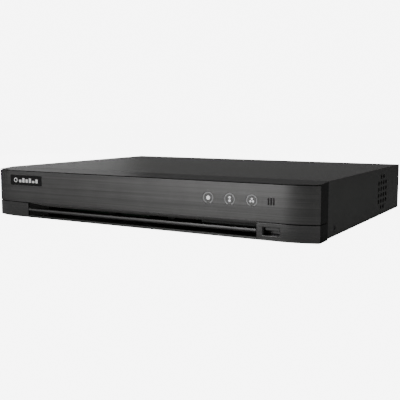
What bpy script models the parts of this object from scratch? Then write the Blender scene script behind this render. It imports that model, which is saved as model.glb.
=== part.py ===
"""A compact video recorder: steel tray and cover, moulded front, boards, hard drive, fan and rear sockets.

It stands on the shelf at z = 0, +Z is up, the front faces -Y, and the origin is under the middle of the
whole recorder. All lengths are in metres; MM turns millimetres into metres.
"""

from math import acos, atan2, cos, pi, radians, sin, sqrt

import bmesh
import bpy
from mathutils import Matrix, Vector

MM = 0.001

# Overall sizes
WIDTH = 315 * MM  # across the front bezel
CASE_DEPTH = 236 * MM  # front face to the back edge of the cover
CASE_HEIGHT = 43.6 * MM  # bezel, bottom edge to top
FOOT_STAND = 1.4 * MM  # shelf to the bezel's bottom edge
JACK_REACH = 9 * MM  # video jacks standing out behind the cover
GAP = 0.3 * MM  # clearance between neighbours that touch
FINE_GAP = 0.1 * MM  # clearance of a light guide in its slot, and of a shaft in its bush

# Sheet metal
STEEL = 0.8 * MM
COVER_INSET = 0.3 * MM  # cover side behind the bezel's side
TRAY_LIFT = 0.8 * MM  # tray bottom above the bezel's bottom edge
FLANGE_TALL = 12 * MM
CORNER_TAB = 6 * MM
COVER_LIP = 8 * MM

# Front bezel
BEZEL_DEPTH = 23 * MM
WALL = 2 * MM
CORNER_RUN = 27.5 * MM  # width of each curved end of the front
CORNER_RADIUS = 63 * MM
ARC_STEPS = 7
TOP_FALL = 1.7 * MM  # how far the bezel's top falls to its front edge
PLATE = 1.2 * MM  # thickness of the brushed plates
LOWER_BAND = 13.0 * MM  # height of the lower trims
SEAM = 0.7 * MM
LIP = 2.0 * MM
RIB_LOW = 6.4 * MM
RIB_HIGH = 8.0 * MM
SLOT_BACK = 1.8 * MM  # height of each intake slot where it opens inside
LOUVRE_DEPTH = 8 * MM
INTAKE_FROM_LEFT = 40.5 * MM
INTAKE_FROM_RIGHT = 46.8 * MM
RAMP_RUN = 17 * MM

# Front details
BADGE_WIDE = 38 * MM
BADGE_TALL = 9 * MM
BADGE_FROM_LEFT = 19.5 * MM
BADGE_UP = 28.9 * MM
BADGE_THICK = 0.5 * MM
LIGHT_PITCH = 18.4 * MM
LIGHT_FROM_RIGHT = 50.8 * MM
LIGHT_UP = 28.9 * MM
RING_RADIUS = 4.5 * MM
RING_BAND = 0.9 * MM
RING_OPEN = 20  # degrees each side of straight down
RING_STEPS = 18
LIGHT_DOTS = ((1, 0, 1.6 * MM), (2, 1.2 * MM, 0.9 * MM), (3, 1.25 * MM, 0.75 * MM))  # count, offset, radius
GUIDE_EDGE = 0.5 * MM  # flange of a light guide round its ring
GUIDE_BACK = 4.5 * MM
GUIDE_STEM = 3 * MM
GUIDE_LAP = 0.5 * MM  # how far a stem runs into the flange
IR_FROM_RIGHT = 35.2 * MM
IR_SLOTS = 3
IR_PITCH = 2.1 * MM
IR_SLOT = 1.0 * MM
IR_TALL = 5.2 * MM
IR_BASE = 8 * MM
IR_THICK = 2 * MM
USB_FROM_RIGHT = 34.9 * MM
USB_UP = 6.8 * MM
USB_WIDE = 14.0 * MM
USB_TALL = 6.2 * MM
USB_DEPTH = 9.6 * MM
USB_SHELL = 0.6 * MM
TONGUE_WIDE = 11.4 * MM
TONGUE_TALL = 1.9 * MM
TONGUE_UP = 0.6 * MM  # tongue's underside above the middle of the mouth
TONGUE_IN = 1 * MM
TONGUE_BLOCK = 2 * MM

# Feet and screws
FOOT_RADIUS = 8 * MM
FOOT_STUD = 2 * MM
FOOT_STUD_UP = 1 * MM
FOOT_EDGE = 0.5 * MM
FOOT_IN_SIDE = 22 * MM
FOOT_IN_FRONT = 45 * MM
FOOT_IN_BACK = 30 * MM
HEAD_RADIUS = 3.4 * MM
SHANK_RADIUS = 1.5 * MM
SHANK_LONG = 5 * MM
SIDE_SCREW_FRONT = 39.5 * MM
SIDE_SCREW_BACK = 14.4 * MM
SIDE_SCREW_UP = 6.8 * MM
REAR_SCREW_IN = 12 * MM
REAR_SCREW_DROP = 4.1 * MM

# Fan and the vents over it
FAN_SIZE = 40 * MM
FAN_THICK = 10 * MM
FAN_FROM_BACK = 61.5 * MM
FAN_RIM = 1 * MM
FAN_HUB = 9 * MM
FAN_SHAFT = 1.5 * MM
BLADE_CLEAR = 1 * MM
BLADE_THICK = 1.0 * MM
BLADE_CHORD = 6.4 * MM
BLADES = 7
BLADE_ANGLE = 38  # degrees from the shaft
FAN_CORNER = 3 * MM
FAN_STRUT = 1.6 * MM
FAN_STRUTS = 4
HUB_EDGE = 1 * MM
VENT_ROWS = (2, 4, 4, 4, 4, 2)
VENT_PITCH_Y = 8.3 * MM
VENT_PITCH_Z = 5.6 * MM
VENT_LONG = 5.2 * MM
VENT_TALL = 3.8 * MM
VENT_ROUND = 1.2 * MM

# Boards
STANDOFF = 3.4 * MM
STANDOFF_RADIUS = 3 * MM
BOARD_THICK = 1.6 * MM
BOARD_LEFT_GAP = 12 * MM
BOARD_RIGHT_GAP = 22 * MM
BOARD_BACK_GAP = 2 * MM
DRIVE_TO_BOARD = 8.4 * MM
BOARD_HOLE = 1.6 * MM
BOARD_HOLE_IN = 5 * MM
SINK_SIZE = 38 * MM
SINK_TALL = 14 * MM
SINK_BASE = 3 * MM
SINK_FINS = 7
SINK_FIN = 1.4 * MM
SINK_X = 60 * MM
SINK_FRONT_GAP = 8 * MM
CELL_RADIUS = 10 * MM
CELL_THICK = 3.2 * MM
CELL_X = 20 * MM
FRONT_BOARD_WIDE = 80 * MM
FRONT_BOARD_FROM_RIGHT = 20 * MM
FRONT_BOARD_IN = 12 * MM
FRONT_BOARD_EDGE = 1 * MM

# Hard drive
DRIVE_LONG = 147 * MM
DRIVE_WIDE = 101.6 * MM
DRIVE_TALL = 26.1 * MM
DRIVE_LIFT = 2.5 * MM
DRIVE_SIDE_GAP = 8 * MM
PAD_RADIUS = 4 * MM
DRIVE_FRONT_GAP = 5 * MM
DRIVE_WALL = 2 * MM
DRIVE_FLOOR = 4 * MM
DRIVE_LID = 1.2 * MM
PLATTER_RADIUS = 47.5 * MM
PLATTER_THICK = 1.3 * MM
PLATTER_PITCH = 6 * MM
PLATTERS = 2
PLATTER_UP = 4 * MM
POST_CLEAR = 1 * MM
HUB_STAND = 2 * MM
DRIVE_BOARD_IN = 1 * MM
HUB_RADIUS = 12.5 * MM
SPINDLE_RADIUS = 3 * MM
SPINDLE_IN = 51 * MM
ARM_PIVOT = (49.5 * MM, -30 * MM)  # from the spindle
ARM_LONG = 50 * MM
ARM_PIN = 2.4 * MM
ARM_SLEEVE = 5.5 * MM
ARM_FINGER = 1.0 * MM
ARM_ROOT = 4 * MM  # half the finger's width at the sleeve
ARM_TIP = 1.5 * MM
COIL_REACH = 14 * MM
COIL_HALF = 9 * MM
COIL_UP = 7 * MM
COIL_THICK = 2 * MM
PARK_CLEAR = 2 * MM

# Rear sockets: distance of each from the middle, seen along +X
VIDEO_X = 118 * MM
VIDEO_PITCH = 18 * MM
VIDEO_COLUMNS = 4
VIDEO_ROWS = 2
VIDEO_ROW_PITCH = 15.5 * MM
JACK_FLANGE = 7.2 * MM
JACK_NECK = 5.6 * MM
JACK_BARREL = 4.8 * MM
JACK_BORE = 4.05 * MM
JACK_CORE = 2.3 * MM
JACK_BORE_DEPTH = 8 * MM
JACK_INSIDE = 10 * MM
JACK_COLLAR = 1.5 * MM
JACK_CORE_IN = 1.5 * MM
JACK_LUG = 0.9 * MM
JACK_LUG_IN = 3 * MM
JACK_STEPS = 14
AUDIO_X = 44 * MM
AUDIO_WIDE = 11 * MM
AUDIO_BARREL = 4.15 * MM
AUDIO_REACH = 8 * MM
AUDIO_BORE = 1.6 * MM
VGA_X = 17 * MM
VGA_WIDE = 30.8 * MM
VGA_TALL = 12.5 * MM
VGA_MOUTH = 16.4 * MM
VGA_MOUTH_TALL = 8 * MM
VGA_POST = 12.5 * MM
VGA_SLANT = 1 * MM
VGA_REACH = 5.5 * MM
VGA_SHELL = 0.7 * MM
POST_RADIUS = 2.6 * MM
POST_REACH = 4.5 * MM
SOCKET_INSIDE = 10 * MM
HDMI_X = -12 * MM
HDMI_WIDE = 15 * MM
HDMI_TALL = 5.6 * MM
HDMI_SLANT = 1.4 * MM
HDMI_PROUD = 0.6 * MM
HDMI_DEEP = 12 * MM
HDMI_MOUTH_DEEP = 9 * MM
HDMI_SHELL = 0.5 * MM
HDMI_TONGUE = 10 * MM
HDMI_TONGUE_IN = 1.5 * MM
HDMI_TONGUE_TALL = 1.4 * MM
HDMI_TONGUE_UP = 0.3 * MM
LAN_X = -34 * MM
LAN_WIDE = 16 * MM
LAN_TALL = 13.4 * MM
LAN_DEEP = 20 * MM
LAN_MOUTH = 11.8 * MM
LAN_MOUTH_TALL = 7 * MM
LAN_MOUTH_DEEP = 12 * MM
LAN_MOUTH_UP = 1.5 * MM
LATCH_WIDE = 6 * MM
LATCH_DEEP = 8 * MM
LATCH_TALL = 3 * MM
METAL_PROUD = 0.8 * MM  # network and rear USB sockets in front of the rear panel
REAR_USB_DEEP = 14 * MM
REAR_USB_X = -56 * MM
TERMINAL_X = -80 * MM
TERMINAL_SIZE = 12 * MM
LEVER_PITCH = 5 * MM
LEVER_WIDE = 3.6 * MM
LEVER_TALL = 4 * MM
LEVER_TRAVEL = 1.2 * MM
LEVER_UP = 2.4 * MM
LEVER_DEEP = 6 * MM
WIRE_HOLE = 1.3 * MM
WIRE_DOWN = 3.2 * MM
TERMINAL_PROUD = 2.5 * MM
DC_X = -104 * MM
DC_WIDE = 9 * MM
DC_TALL = 11 * MM
DC_BORE = 3.1 * MM
DC_PIN = 1.0 * MM
DC_DEEP = 14 * MM
DC_BORE_DEEP = 9.5 * MM
DC_PIN_IN = 1 * MM
DC_PROUD = 0.5 * MM
ROCKER_X = -134 * MM
ROCKER_WIDE = 9 * MM
ROCKER_HALF = 7 * MM
ROCKER_TILT = 10  # degrees each side of level
ROCKER_RISE = 2.4 * MM
ROCKER_KEEL = 4 * MM
ROCKER_KEEL_HALF = 2 * MM
ROCKER_PIVOT_IN = 1 * MM
HOUSING_DEEP = 12 * MM
HOUSING_BASE = 3 * MM
HOUSING_PROUD = 1 * MM
HOUSING_EDGE = 1 * MM
HOUSING_FLANGE = 1.5 * MM
GROUND_IN = 6.5 * MM
GROUND_UP = 26 * MM
GROUND_HEAD = 3.6 * MM
GROUND_HEAD_TOP = 3.2 * MM
GROUND_HEAD_TALL = 2 * MM
GROUND_HEAD_EDGE = 1.4 * MM
GROUND_SHANK = 4 * MM
REAR_VENTS = 12
REAR_VENT_PITCH = 5 * MM
REAR_VENT_WIDE = 2 * MM
REAR_VENT_TALL = 9 * MM
REAR_VENT_UP = 33 * MM
REAR_VENT_X = -30 * MM

# Leads
RIBBON_RADIUS = 1.6 * MM
SATA_RADIUS = 1.8 * MM
FAN_LEAD_RADIUS = 1.2 * MM
WINDOW_WIDE = 20 * MM
WINDOW_TALL = 14 * MM
WINDOW_UP = 18 * MM
WINDOW_WEB = 6 * MM
AIR_WINDOWS = 3
AIR_WINDOW_LOW = 4 * MM
AIR_WINDOW_HIGH = 15 * MM

# Planes worked out from the sizes above
SIDE_X = WIDTH / 2
FRONT_Y = -(CASE_DEPTH + JACK_REACH) / 2
BACK_Y = FRONT_Y + CASE_DEPTH
BEZEL_Z = FOOT_STAND
TOP_Z = BEZEL_Z + CASE_HEIGHT
BEZEL_BACK_Y = FRONT_Y + BEZEL_DEPTH
COVER_X = SIDE_X - COVER_INSET
TRAY_X = COVER_X - STEEL - GAP
TRAY_Y = BEZEL_BACK_Y + GAP
TRAY_Z = BEZEL_Z + TRAY_LIFT
FLOOR_Z = TRAY_Z + STEEL
TRAY_TOP_Z = TOP_Z - STEEL - GAP
PANEL_Y = BACK_Y - STEEL - GAP
PANEL_IN_Y = PANEL_Y - STEEL
INTAKE_X0 = -SIDE_X + INTAKE_FROM_LEFT
INTAKE_X1 = SIDE_X - INTAKE_FROM_RIGHT
BOARD_Z = FLOOR_Z + STANDOFF
BOARD_TOP = BOARD_Z + BOARD_THICK
DRIVE_X = -SIDE_X + DRIVE_SIDE_GAP + DRIVE_LONG / 2
DRIVE_Y = TRAY_Y + STEEL + DRIVE_FRONT_GAP + DRIVE_WIDE / 2
DRIVE_Z = FLOOR_Z + DRIVE_LIFT
BOARD_X0 = -SIDE_X + BOARD_LEFT_GAP
BOARD_X1 = SIDE_X - BOARD_RIGHT_GAP
BOARD_Y0 = DRIVE_Y + DRIVE_WIDE / 2 + DRIVE_TO_BOARD
BOARD_Y1 = PANEL_IN_Y - BOARD_BACK_GAP
FAN_X = TRAY_X - STEEL - GAP - FAN_THICK / 2
FAN_Y = BACK_Y - FAN_FROM_BACK
FAN_Z = FLOOR_Z + GAP + FAN_SIZE / 2
FAN_BORE = FAN_SIZE / 2 - FAN_RIM
BLADE_TIP = FAN_BORE - BLADE_CLEAR
FRONT_BOARD_Y = FRONT_Y + FRONT_BOARD_IN
GUIDE_BASE = RING_RADIUS + GUIDE_EDGE

BLACK = (0.02, 0.02, 0.02)
STEEL_GREY = (0.035, 0.035, 0.033)
BRUSHED = (0.09, 0.09, 0.09)
ZINC = (0.55, 0.56, 0.58)
BOARD_GREEN = (0.02, 0.12, 0.06)


# ---- Shape helpers ----


def box(low, high):
    """A box between two corners."""
    bm = bmesh.new()
    centre = (Vector(low) + Vector(high)) / 2
    size = Vector(high) - Vector(low)
    bmesh.ops.create_cube(bm, size=1, matrix=Matrix.Translation(centre) @ Matrix.Diagonal((*size, 1)))
    return bm


def box_at(centre, size):
    """A box of a given size round its centre."""
    half = Vector(size) / 2
    return box(Vector(centre) - half, Vector(centre) + half)


def prism(outline, along, start, end):
    """A straight prism: outline holds pairs in the two other axes, in X, Y, Z order."""
    bm = bmesh.new()
    order = {"X": (2, 0, 1), "Y": (0, 2, 1), "Z": (0, 1, 2)}[along]

    def place(pair, height):
        values = (*pair, height)
        return tuple(values[i] for i in order)

    face = bm.faces.new([bm.verts.new(place(pair, start)) for pair in outline])
    swept = bmesh.ops.extrude_face_region(bm, geom=[face])
    moved = [v for v in swept["geom"] if isinstance(v, bmesh.types.BMVert)]
    shift = Vector(place((0, 0), end)) - Vector(place((0, 0), start))
    bmesh.ops.translate(bm, verts=moved, vec=shift)
    bmesh.ops.recalc_face_normals(bm, faces=bm.faces)
    return bm


def hull(points):
    """The convex solid round a few points."""
    bm = bmesh.new()
    for point in points:
        bm.verts.new(point)
    bmesh.ops.convex_hull(bm, input=bm.verts)
    bmesh.ops.recalc_face_normals(bm, faces=bm.faces)
    return bm


TURN = {
    "X": Matrix.Rotation(radians(90), 4, "Y"),
    "-X": Matrix.Rotation(radians(-90), 4, "Y"),
    "Y": Matrix.Rotation(radians(-90), 4, "X"),
    "-Y": Matrix.Rotation(radians(90), 4, "X"),
    "Z": Matrix.Identity(4),
}


def turned(profile, centre=(0, 0, 0), along="Z", steps=12):
    """A turned solid: profile holds (radius, height) pairs, and height runs along the named axis."""
    bm = bmesh.new()
    verts = [bm.verts.new((radius, 0, height)) for radius, height in profile]
    pairs = list(zip(verts, verts[1:]))
    if profile[0][0] > 0:
        pairs.append((verts[-1], verts[0]))
    edges = [bm.edges.new(pair) for pair in pairs]
    bmesh.ops.spin(bm, geom=verts + edges, axis=(0, 0, 1), cent=(0, 0, 0), steps=steps, angle=2 * pi)
    bmesh.ops.remove_doubles(bm, verts=bm.verts, dist=1e-6)
    bmesh.ops.recalc_face_normals(bm, faces=bm.faces)
    bmesh.ops.transform(bm, matrix=Matrix.Translation(centre) @ TURN[along], verts=bm.verts)
    return bm


def rod(radius, start, end, centre=(0, 0, 0), along="Z", steps=12):
    """A plain cylinder between two heights along an axis."""
    return turned([(0, start), (radius, start), (radius, end), (0, end)], centre, along, steps)


def together(pieces):
    """Several separate shapes in one mesh, for a cutter."""
    bm = bmesh.new()
    for piece in pieces:
        mesh = bpy.data.meshes.new("piece")
        piece.to_mesh(mesh)
        piece.free()
        bm.from_mesh(mesh)
        bpy.data.meshes.remove(mesh)
    return bm


def rounded(wide, tall, radius, steps=2):
    """The outline of a rounded rectangle round the middle."""
    outline = []
    for turn, (sx, sy) in enumerate(((1, 1), (-1, 1), (-1, -1), (1, -1))):
        for step in range(steps + 1):
            angle = radians(90 * turn + 90 * step / steps)
            across = sx * (wide / 2 - radius) + radius * cos(angle)
            outline.append((across, sy * (tall / 2 - radius) + radius * sin(angle)))
    return outline


def moved_outline(outline, across, up):
    return [(u + across, v + up) for u, v in outline]


def make(name, bm, at=(0, 0, 0)):
    """A new object from a shape, its origin at the given place."""
    mesh = bpy.data.meshes.new(name)
    bm.to_mesh(mesh)
    bm.free()
    mesh.shade_smooth()
    mesh.set_sharp_from_angle(angle=radians(32))
    obj = bpy.data.objects.new(name, mesh)
    obj.location = at
    bpy.context.scene.collection.objects.link(obj)
    return obj


def combine(obj, bm, operation):
    """Join a shape to an object, or cut it out, with a live Boolean."""
    helper = make(f"{obj.name}_{operation.lower()}_{len(obj.modifiers)}", bm, obj.location)
    helper.hide_render = True
    helper.display_type = "WIRE"
    modifier = obj.modifiers.new(helper.name, "BOOLEAN")
    modifier.operation = operation
    modifier.solver = "EXACT"
    modifier.object = helper


def cut(obj, *shapes):
    for shape in shapes:
        combine(obj, shape, "DIFFERENCE")


def join(obj, *shapes):
    for shape in shapes:
        combine(obj, shape, "UNION")


def paint(obj, color, roughness=0.5, metallic=0.0):
    """Give an object its own plain material."""
    material = bpy.data.materials.new(obj.name)
    material.use_nodes = True
    shader = material.node_tree.nodes["Principled BSDF"]
    shader.inputs["Base Color"].default_value = (*color, 1)
    shader.inputs["Roughness"].default_value = roughness
    shader.inputs["Metallic"].default_value = metallic
    obj.data.materials.append(material)
    return obj


# ---- The curved front ----


def front_y(x, inset=0.0):
    """Y of the front face, or of a face parallel to it and set back by inset."""
    run = max(abs(x) - (SIDE_X - CORNER_RUN), 0.0)
    return FRONT_Y + CORNER_RADIUS - sqrt((CORNER_RADIUS - inset) ** 2 - run**2)


def stations(x0, x1):
    """X values that follow the front's flat middle and its curved ends."""
    edge = SIDE_X - CORNER_RUN
    arc = [edge + CORNER_RUN * step / ARC_STEPS for step in range(ARC_STEPS)]
    inner = [-x for x in reversed(arc)] + arc
    return [x0] + [x for x in inner if x0 + GAP < x < x1 - GAP] + [x1]


def curved_plate(x0, x1, z0, z1, near, far):
    """A plate that follows the front, between two insets."""
    xs = stations(x0, x1)
    outline = [(x, front_y(x, near)) for x in xs] + [(x, front_y(x, far)) for x in reversed(xs)]
    return prism(outline, "Z", z0, z1)


def behind_front(x0, x1, z0, z1, near, back_y):
    """A block with a curved front face and a flat back."""
    xs = stations(x0, x1)
    outline = [(x, front_y(x, near)) for x in xs] + [(x1, back_y), (x0, back_y)]
    return prism(outline, "Z", z0, z1)


def intake_slot(low, high, top_back):
    """An intake slot: a wedge that narrows towards the back, ramped at its left end, and its throat."""
    front = FRONT_Y - WALL
    back = FRONT_Y + LOUVRE_DEPTH
    mouth = FRONT_Y + PLATE
    wedge = [(INTAKE_X0, front, low), (INTAKE_X0, front, high)]
    wedge += [(INTAKE_X0, mouth, low), (INTAKE_X0, mouth, high)]
    wedge += [(INTAKE_X1, front, low), (INTAKE_X1, front, high), (INTAKE_X1, mouth, high)]
    wedge += [(INTAKE_X1, back, low), (INTAKE_X1, back, top_back)]
    wedge += [(INTAKE_X0 + RAMP_RUN, back, low), (INTAKE_X0 + RAMP_RUN, back, top_back)]
    throat = box((INTAKE_X0 + RAMP_RUN, back - WALL, low), (INTAKE_X1, back + 2 * WALL, top_back))
    return hull(wedge), throat


def light_centres():
    right = SIDE_X - LIGHT_FROM_RIGHT
    return [(right - LIGHT_PITCH * (2 - index), BEZEL_Z + LIGHT_UP) for index in range(3)]


def ring_outline(x, z, grow):
    """The open ring round a status light, made wider all round by grow."""
    open_angle = radians(RING_OPEN) - grow / RING_RADIUS
    start = -pi / 2 + open_angle
    sweep = 2 * pi - 2 * open_angle
    outer = RING_RADIUS + grow
    inner = RING_RADIUS - RING_BAND - grow
    angles = [start + sweep * step / RING_STEPS for step in range(RING_STEPS + 1)]
    points = [(x + outer * cos(a), z + outer * sin(a)) for a in angles]
    return points + [(x + inner * cos(a), z + inner * sin(a)) for a in reversed(angles)]


def light_dots(index):
    """Centre offsets and radius of the dots inside each ring, evenly round its middle."""
    count, offset, radius = LIGHT_DOTS[index]
    angles = [pi / 2 + 2 * pi * turn / count for turn in range(count)]
    return [(offset * cos(a), offset * sin(a)) for a in angles], radius


def light_shapes(index, grow, near, far):
    """The ring and dots of one light as prisms between two insets behind the front."""
    x, z = light_centres()[index]
    shapes = [prism(ring_outline(x, z, grow), "Y", FRONT_Y + near, FRONT_Y + far)]
    offsets, radius = light_dots(index)
    for dx, dz in offsets:
        shapes.append(rod(radius + grow, near, far, (x + dx, FRONT_Y, z + dz), "Y", 10))
    return shapes


def ir_shapes(grow, near, far):
    x, z = SIDE_X - IR_FROM_RIGHT, BEZEL_Z + LIGHT_UP
    shapes = []
    for index in range(IR_SLOTS):
        centre = x + IR_PITCH * (index - (IR_SLOTS - 1) / 2)
        low = (centre - IR_SLOT / 2 - grow, FRONT_Y + near, z - IR_TALL / 2 - grow)
        shapes.append(box(low, (centre + IR_SLOT / 2 + grow, FRONT_Y + far, z + IR_TALL / 2 + grow)))
    return shapes


def build_bezel():
    seat = PLATE + GAP
    beyond = -WALL
    trim_top = BEZEL_Z + LOWER_BAND + GAP
    fascia_low = BEZEL_Z + LOWER_BAND + SEAM - GAP
    fascia_high = TOP_Z - TOP_FALL + GAP
    bezel = make("front_bezel", behind_front(-SIDE_X, SIDE_X, BEZEL_Z, TOP_Z, 0, BEZEL_BACK_Y))
    slope = [
        (FRONT_Y - WALL, TOP_Z - TOP_FALL * (1 + WALL / BEZEL_DEPTH)),
        (BEZEL_BACK_Y, TOP_Z),
        (BEZEL_BACK_Y, TOP_Z + WALL),
        (FRONT_Y - WALL, TOP_Z + WALL),
    ]
    cut(bezel, prism(slope, "X", -SIDE_X - WALL, SIDE_X + WALL))
    reach = SIDE_X + PLATE
    cut(bezel, curved_plate(-reach, reach, fascia_low, fascia_high, beyond, seat))
    cut(bezel, curved_plate(-reach, INTAKE_X0 + GAP, BEZEL_Z - WALL, trim_top, beyond, seat))
    cut(bezel, curved_plate(INTAKE_X1 - GAP, reach, BEZEL_Z - WALL, trim_top, beyond, seat))
    rib_seat = (INTAKE_X0, FRONT_Y - WALL, BEZEL_Z + RIB_LOW - GAP)
    cut(bezel, box(rib_seat, (INTAKE_X1, FRONT_Y + seat, BEZEL_Z + RIB_HIGH)))
    lower = (BEZEL_Z + LIP, BEZEL_Z + RIB_LOW - GAP, BEZEL_Z + LIP + SLOT_BACK)
    upper = (BEZEL_Z + RIB_HIGH, fascia_low, BEZEL_Z + RIB_HIGH + SLOT_BACK)
    cut(bezel, *intake_slot(*lower), *intake_slot(*upper))
    # The hollow behind: full height at the back, and shallow pockets behind the plates
    inside = SIDE_X - WALL
    low, high = BEZEL_Z + WALL, TOP_Z - TOP_FALL - WALL
    back = BEZEL_BACK_Y + WALL
    step = LOUVRE_DEPTH + WALL
    cut(bezel, behind_front(-inside, inside, low, high, step, back))
    wall = seat + WALL
    cut(bezel, behind_front(-inside, inside, trim_top + WALL, high, wall, FRONT_Y + step + WALL))
    right_wall = (INTAKE_X1 + WALL, inside, low, trim_top, wall, FRONT_Y + step + WALL)
    cut(bezel, behind_front(*right_wall))
    cut(bezel, behind_front(-inside, INTAKE_X0 - WALL, low, trim_top, wall, FRONT_Y + step + WALL))
    groove = FRONT_Y + CORNER_RADIUS - sqrt(CORNER_RADIUS**2 - CORNER_RUN**2)
    groove_z = (BEZEL_Z + LOWER_BAND, BEZEL_Z + LOWER_BAND + SEAM)
    for side in (-1, 1):
        x0, x1 = sorted((side * (SIDE_X - STEEL), side * (SIDE_X + WALL)))
        cut(bezel, box((x0, groove, groove_z[0]), (x1, BEZEL_BACK_Y + WALL, groove_z[1])))
    for x, z in light_centres():
        cut(bezel, rod(GUIDE_BASE + GAP, 0, step, (x, FRONT_Y, z), "Y", 16))
    x, z = SIDE_X - IR_FROM_RIGHT, BEZEL_Z + LIGHT_UP
    cut(bezel, box_at((x, FRONT_Y + step / 2, z), (IR_BASE + 2 * GAP, step, IR_BASE + 2 * GAP)))
    x, z = SIDE_X - USB_FROM_RIGHT, BEZEL_Z + USB_UP
    cut(bezel, box_at((x, FRONT_Y + step / 2, z), shell_size(step, GAP)))
    return paint(bezel, BLACK, 0.45)


def shell_size(deep, grow=0.0):
    """The outside of a USB socket's shell, made wider all round by grow."""
    return (USB_WIDE + 2 * USB_SHELL + 2 * grow, deep, USB_TALL + 2 * USB_SHELL + 2 * grow)


def usb_blade(x, z, near, far):
    """The contact tongue inside a USB socket whose middle is at x, z."""
    low = z + TONGUE_UP
    return box((x - TONGUE_WIDE / 2, near, low), (x + TONGUE_WIDE / 2, far, low + TONGUE_TALL))


def build_plates():
    end = SIDE_X - FINE_GAP
    low, high = BEZEL_Z + LOWER_BAND + SEAM, TOP_Z - TOP_FALL
    fascia = make("front_fascia", curved_plate(-end, end, low, high, 0, PLATE))
    badge_x = -SIDE_X + BADGE_FROM_LEFT
    badge_z = BEZEL_Z + BADGE_UP
    pocket_x = (badge_x - FINE_GAP, badge_x + BADGE_WIDE + FINE_GAP)
    pocket_z = (badge_z - FINE_GAP, badge_z + BADGE_TALL + FINE_GAP)
    cut(fascia, curved_plate(*pocket_x, *pocket_z, -WALL, BADGE_THICK + FINE_GAP))
    for index in range(3):
        cut(fascia, together(light_shapes(index, FINE_GAP, -WALL, WALL)))
    cut(fascia, together(ir_shapes(FINE_GAP, -WALL, WALL)))
    paint(fascia, BRUSHED, 0.38, 0.8)

    badge = (badge_x, badge_x + BADGE_WIDE, badge_z, badge_z + BADGE_TALL, 0, BADGE_THICK)
    paint(make("name_badge", curved_plate(*badge)), BLACK, 0.25)

    trim_top = BEZEL_Z + LOWER_BAND
    right = make("lower_trim_right", curved_plate(INTAKE_X1, end, BEZEL_Z, trim_top, 0, PLATE))
    x, z = SIDE_X - USB_FROM_RIGHT, BEZEL_Z + USB_UP
    cut(right, box_at((x, FRONT_Y, z), (USB_WIDE, 4 * WALL, USB_TALL)))
    paint(right, BRUSHED, 0.38, 0.8)
    left = make("lower_trim_left", curved_plate(-end, INTAKE_X0, BEZEL_Z, trim_top, 0, PLATE))
    paint(left, (0.05, 0.05, 0.05), 0.38, 0.8)
    rib_low = (INTAKE_X0 + GAP, FRONT_Y, BEZEL_Z + RIB_LOW)
    rib_high = (INTAKE_X1 - GAP, FRONT_Y + PLATE, BEZEL_Z + RIB_HIGH)
    paint(make("grille_rib", box(rib_low, rib_high)), (0.16, 0.16, 0.16), 0.35, 0.8)


def build_front_parts():
    for index, (x, z) in enumerate(light_centres()):
        base = rod(GUIDE_BASE, PLATE + GAP + FINE_GAP, GUIDE_BACK, (x, FRONT_Y, z), "Y", 16)
        guide = make(f"light_guide_{index + 1}", base)
        join(guide, together(light_shapes(index, 0, FINE_GAP, PLATE + GAP + GUIDE_LAP)))
        join(guide, rod(GUIDE_STEM, GUIDE_BACK - GUIDE_LAP, FRONT_BOARD_IN - GAP, (x, FRONT_Y, z), "Y", 12))
        paint(guide, (0.8, 0.8, 0.8), 0.3)
    x, z = SIDE_X - IR_FROM_RIGHT, BEZEL_Z + LIGHT_UP
    near = PLATE + GAP + FINE_GAP
    window = make("ir_window", box_at((x, FRONT_Y + near + IR_THICK / 2, z), (IR_BASE, IR_THICK, IR_BASE)))
    join(window, together(ir_shapes(0, FINE_GAP, near + IR_THICK / 2)))
    paint(window, (0.01, 0.005, 0.008), 0.1)

    x, z = SIDE_X - USB_FROM_RIGHT, BEZEL_Z + USB_UP
    mouth = FRONT_Y + PLATE + GAP
    middle = (x, mouth + USB_DEPTH / 2, z)
    shell = make("front_usb_shell", box_at(middle, shell_size(USB_DEPTH)))
    cut(shell, box_at(middle, (USB_WIDE, 2 * USB_DEPTH, USB_TALL)))
    paint(shell, ZINC, 0.3, 1.0)
    back = mouth + USB_DEPTH
    block = (USB_WIDE - 2 * GAP, TONGUE_BLOCK, USB_TALL - 2 * GAP)
    tongue = make("front_usb_tongue", box_at((x, back - TONGUE_BLOCK / 2, z), block))
    join(tongue, usb_blade(x, z, mouth + TONGUE_IN, back - TONGUE_BLOCK / 2))
    paint(tongue, (0.03, 0.03, 0.03), 0.4)

    x1 = SIDE_X - FRONT_BOARD_FROM_RIGHT
    low = (x1 - FRONT_BOARD_WIDE, FRONT_BOARD_Y, BEZEL_Z + WALL + FRONT_BOARD_EDGE)
    high = (x1, FRONT_BOARD_Y + BOARD_THICK, TOP_Z - TOP_FALL - WALL - FRONT_BOARD_EDGE)
    paint(make("front_board", box(low, high)), BOARD_GREEN, 0.4)


# ---- Steel case ----


def side_screws():
    """Name, centre on the cover's side face and outward side of each side screw."""
    z = BEZEL_Z + SIDE_SCREW_UP
    for side, word in ((-1, "left"), (1, "right")):
        yield f"side_screw_{word}_front", (side * COVER_X, FRONT_Y + SIDE_SCREW_FRONT, z), side
        yield f"side_screw_{word}_back", (side * COVER_X, BACK_Y - SIDE_SCREW_BACK, z), side


def rear_screws():
    z = TOP_Z - REAR_SCREW_DROP
    for side, word in ((-1, "left"), (1, "right")):
        yield f"rear_screw_{word}", (side * (SIDE_X - REAR_SCREW_IN), BACK_Y, z)


def countersink(centre, along, grow):
    """A countersunk screw, or with grow its hole through the cover and the tray."""
    slope = HEAD_RADIUS - SHANK_RADIUS - 2 * GAP
    head = HEAD_RADIUS + grow
    shank = SHANK_RADIUS + grow
    under = -STEEL - grow / 2
    profile = [(0, MM), (head, MM)] if grow else [(0, 0)]
    profile += [(head, 0), (head - slope, under), (shank, under), (shank, -SHANK_LONG), (0, -SHANK_LONG)]
    return turned(profile, centre, along, 10)


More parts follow.
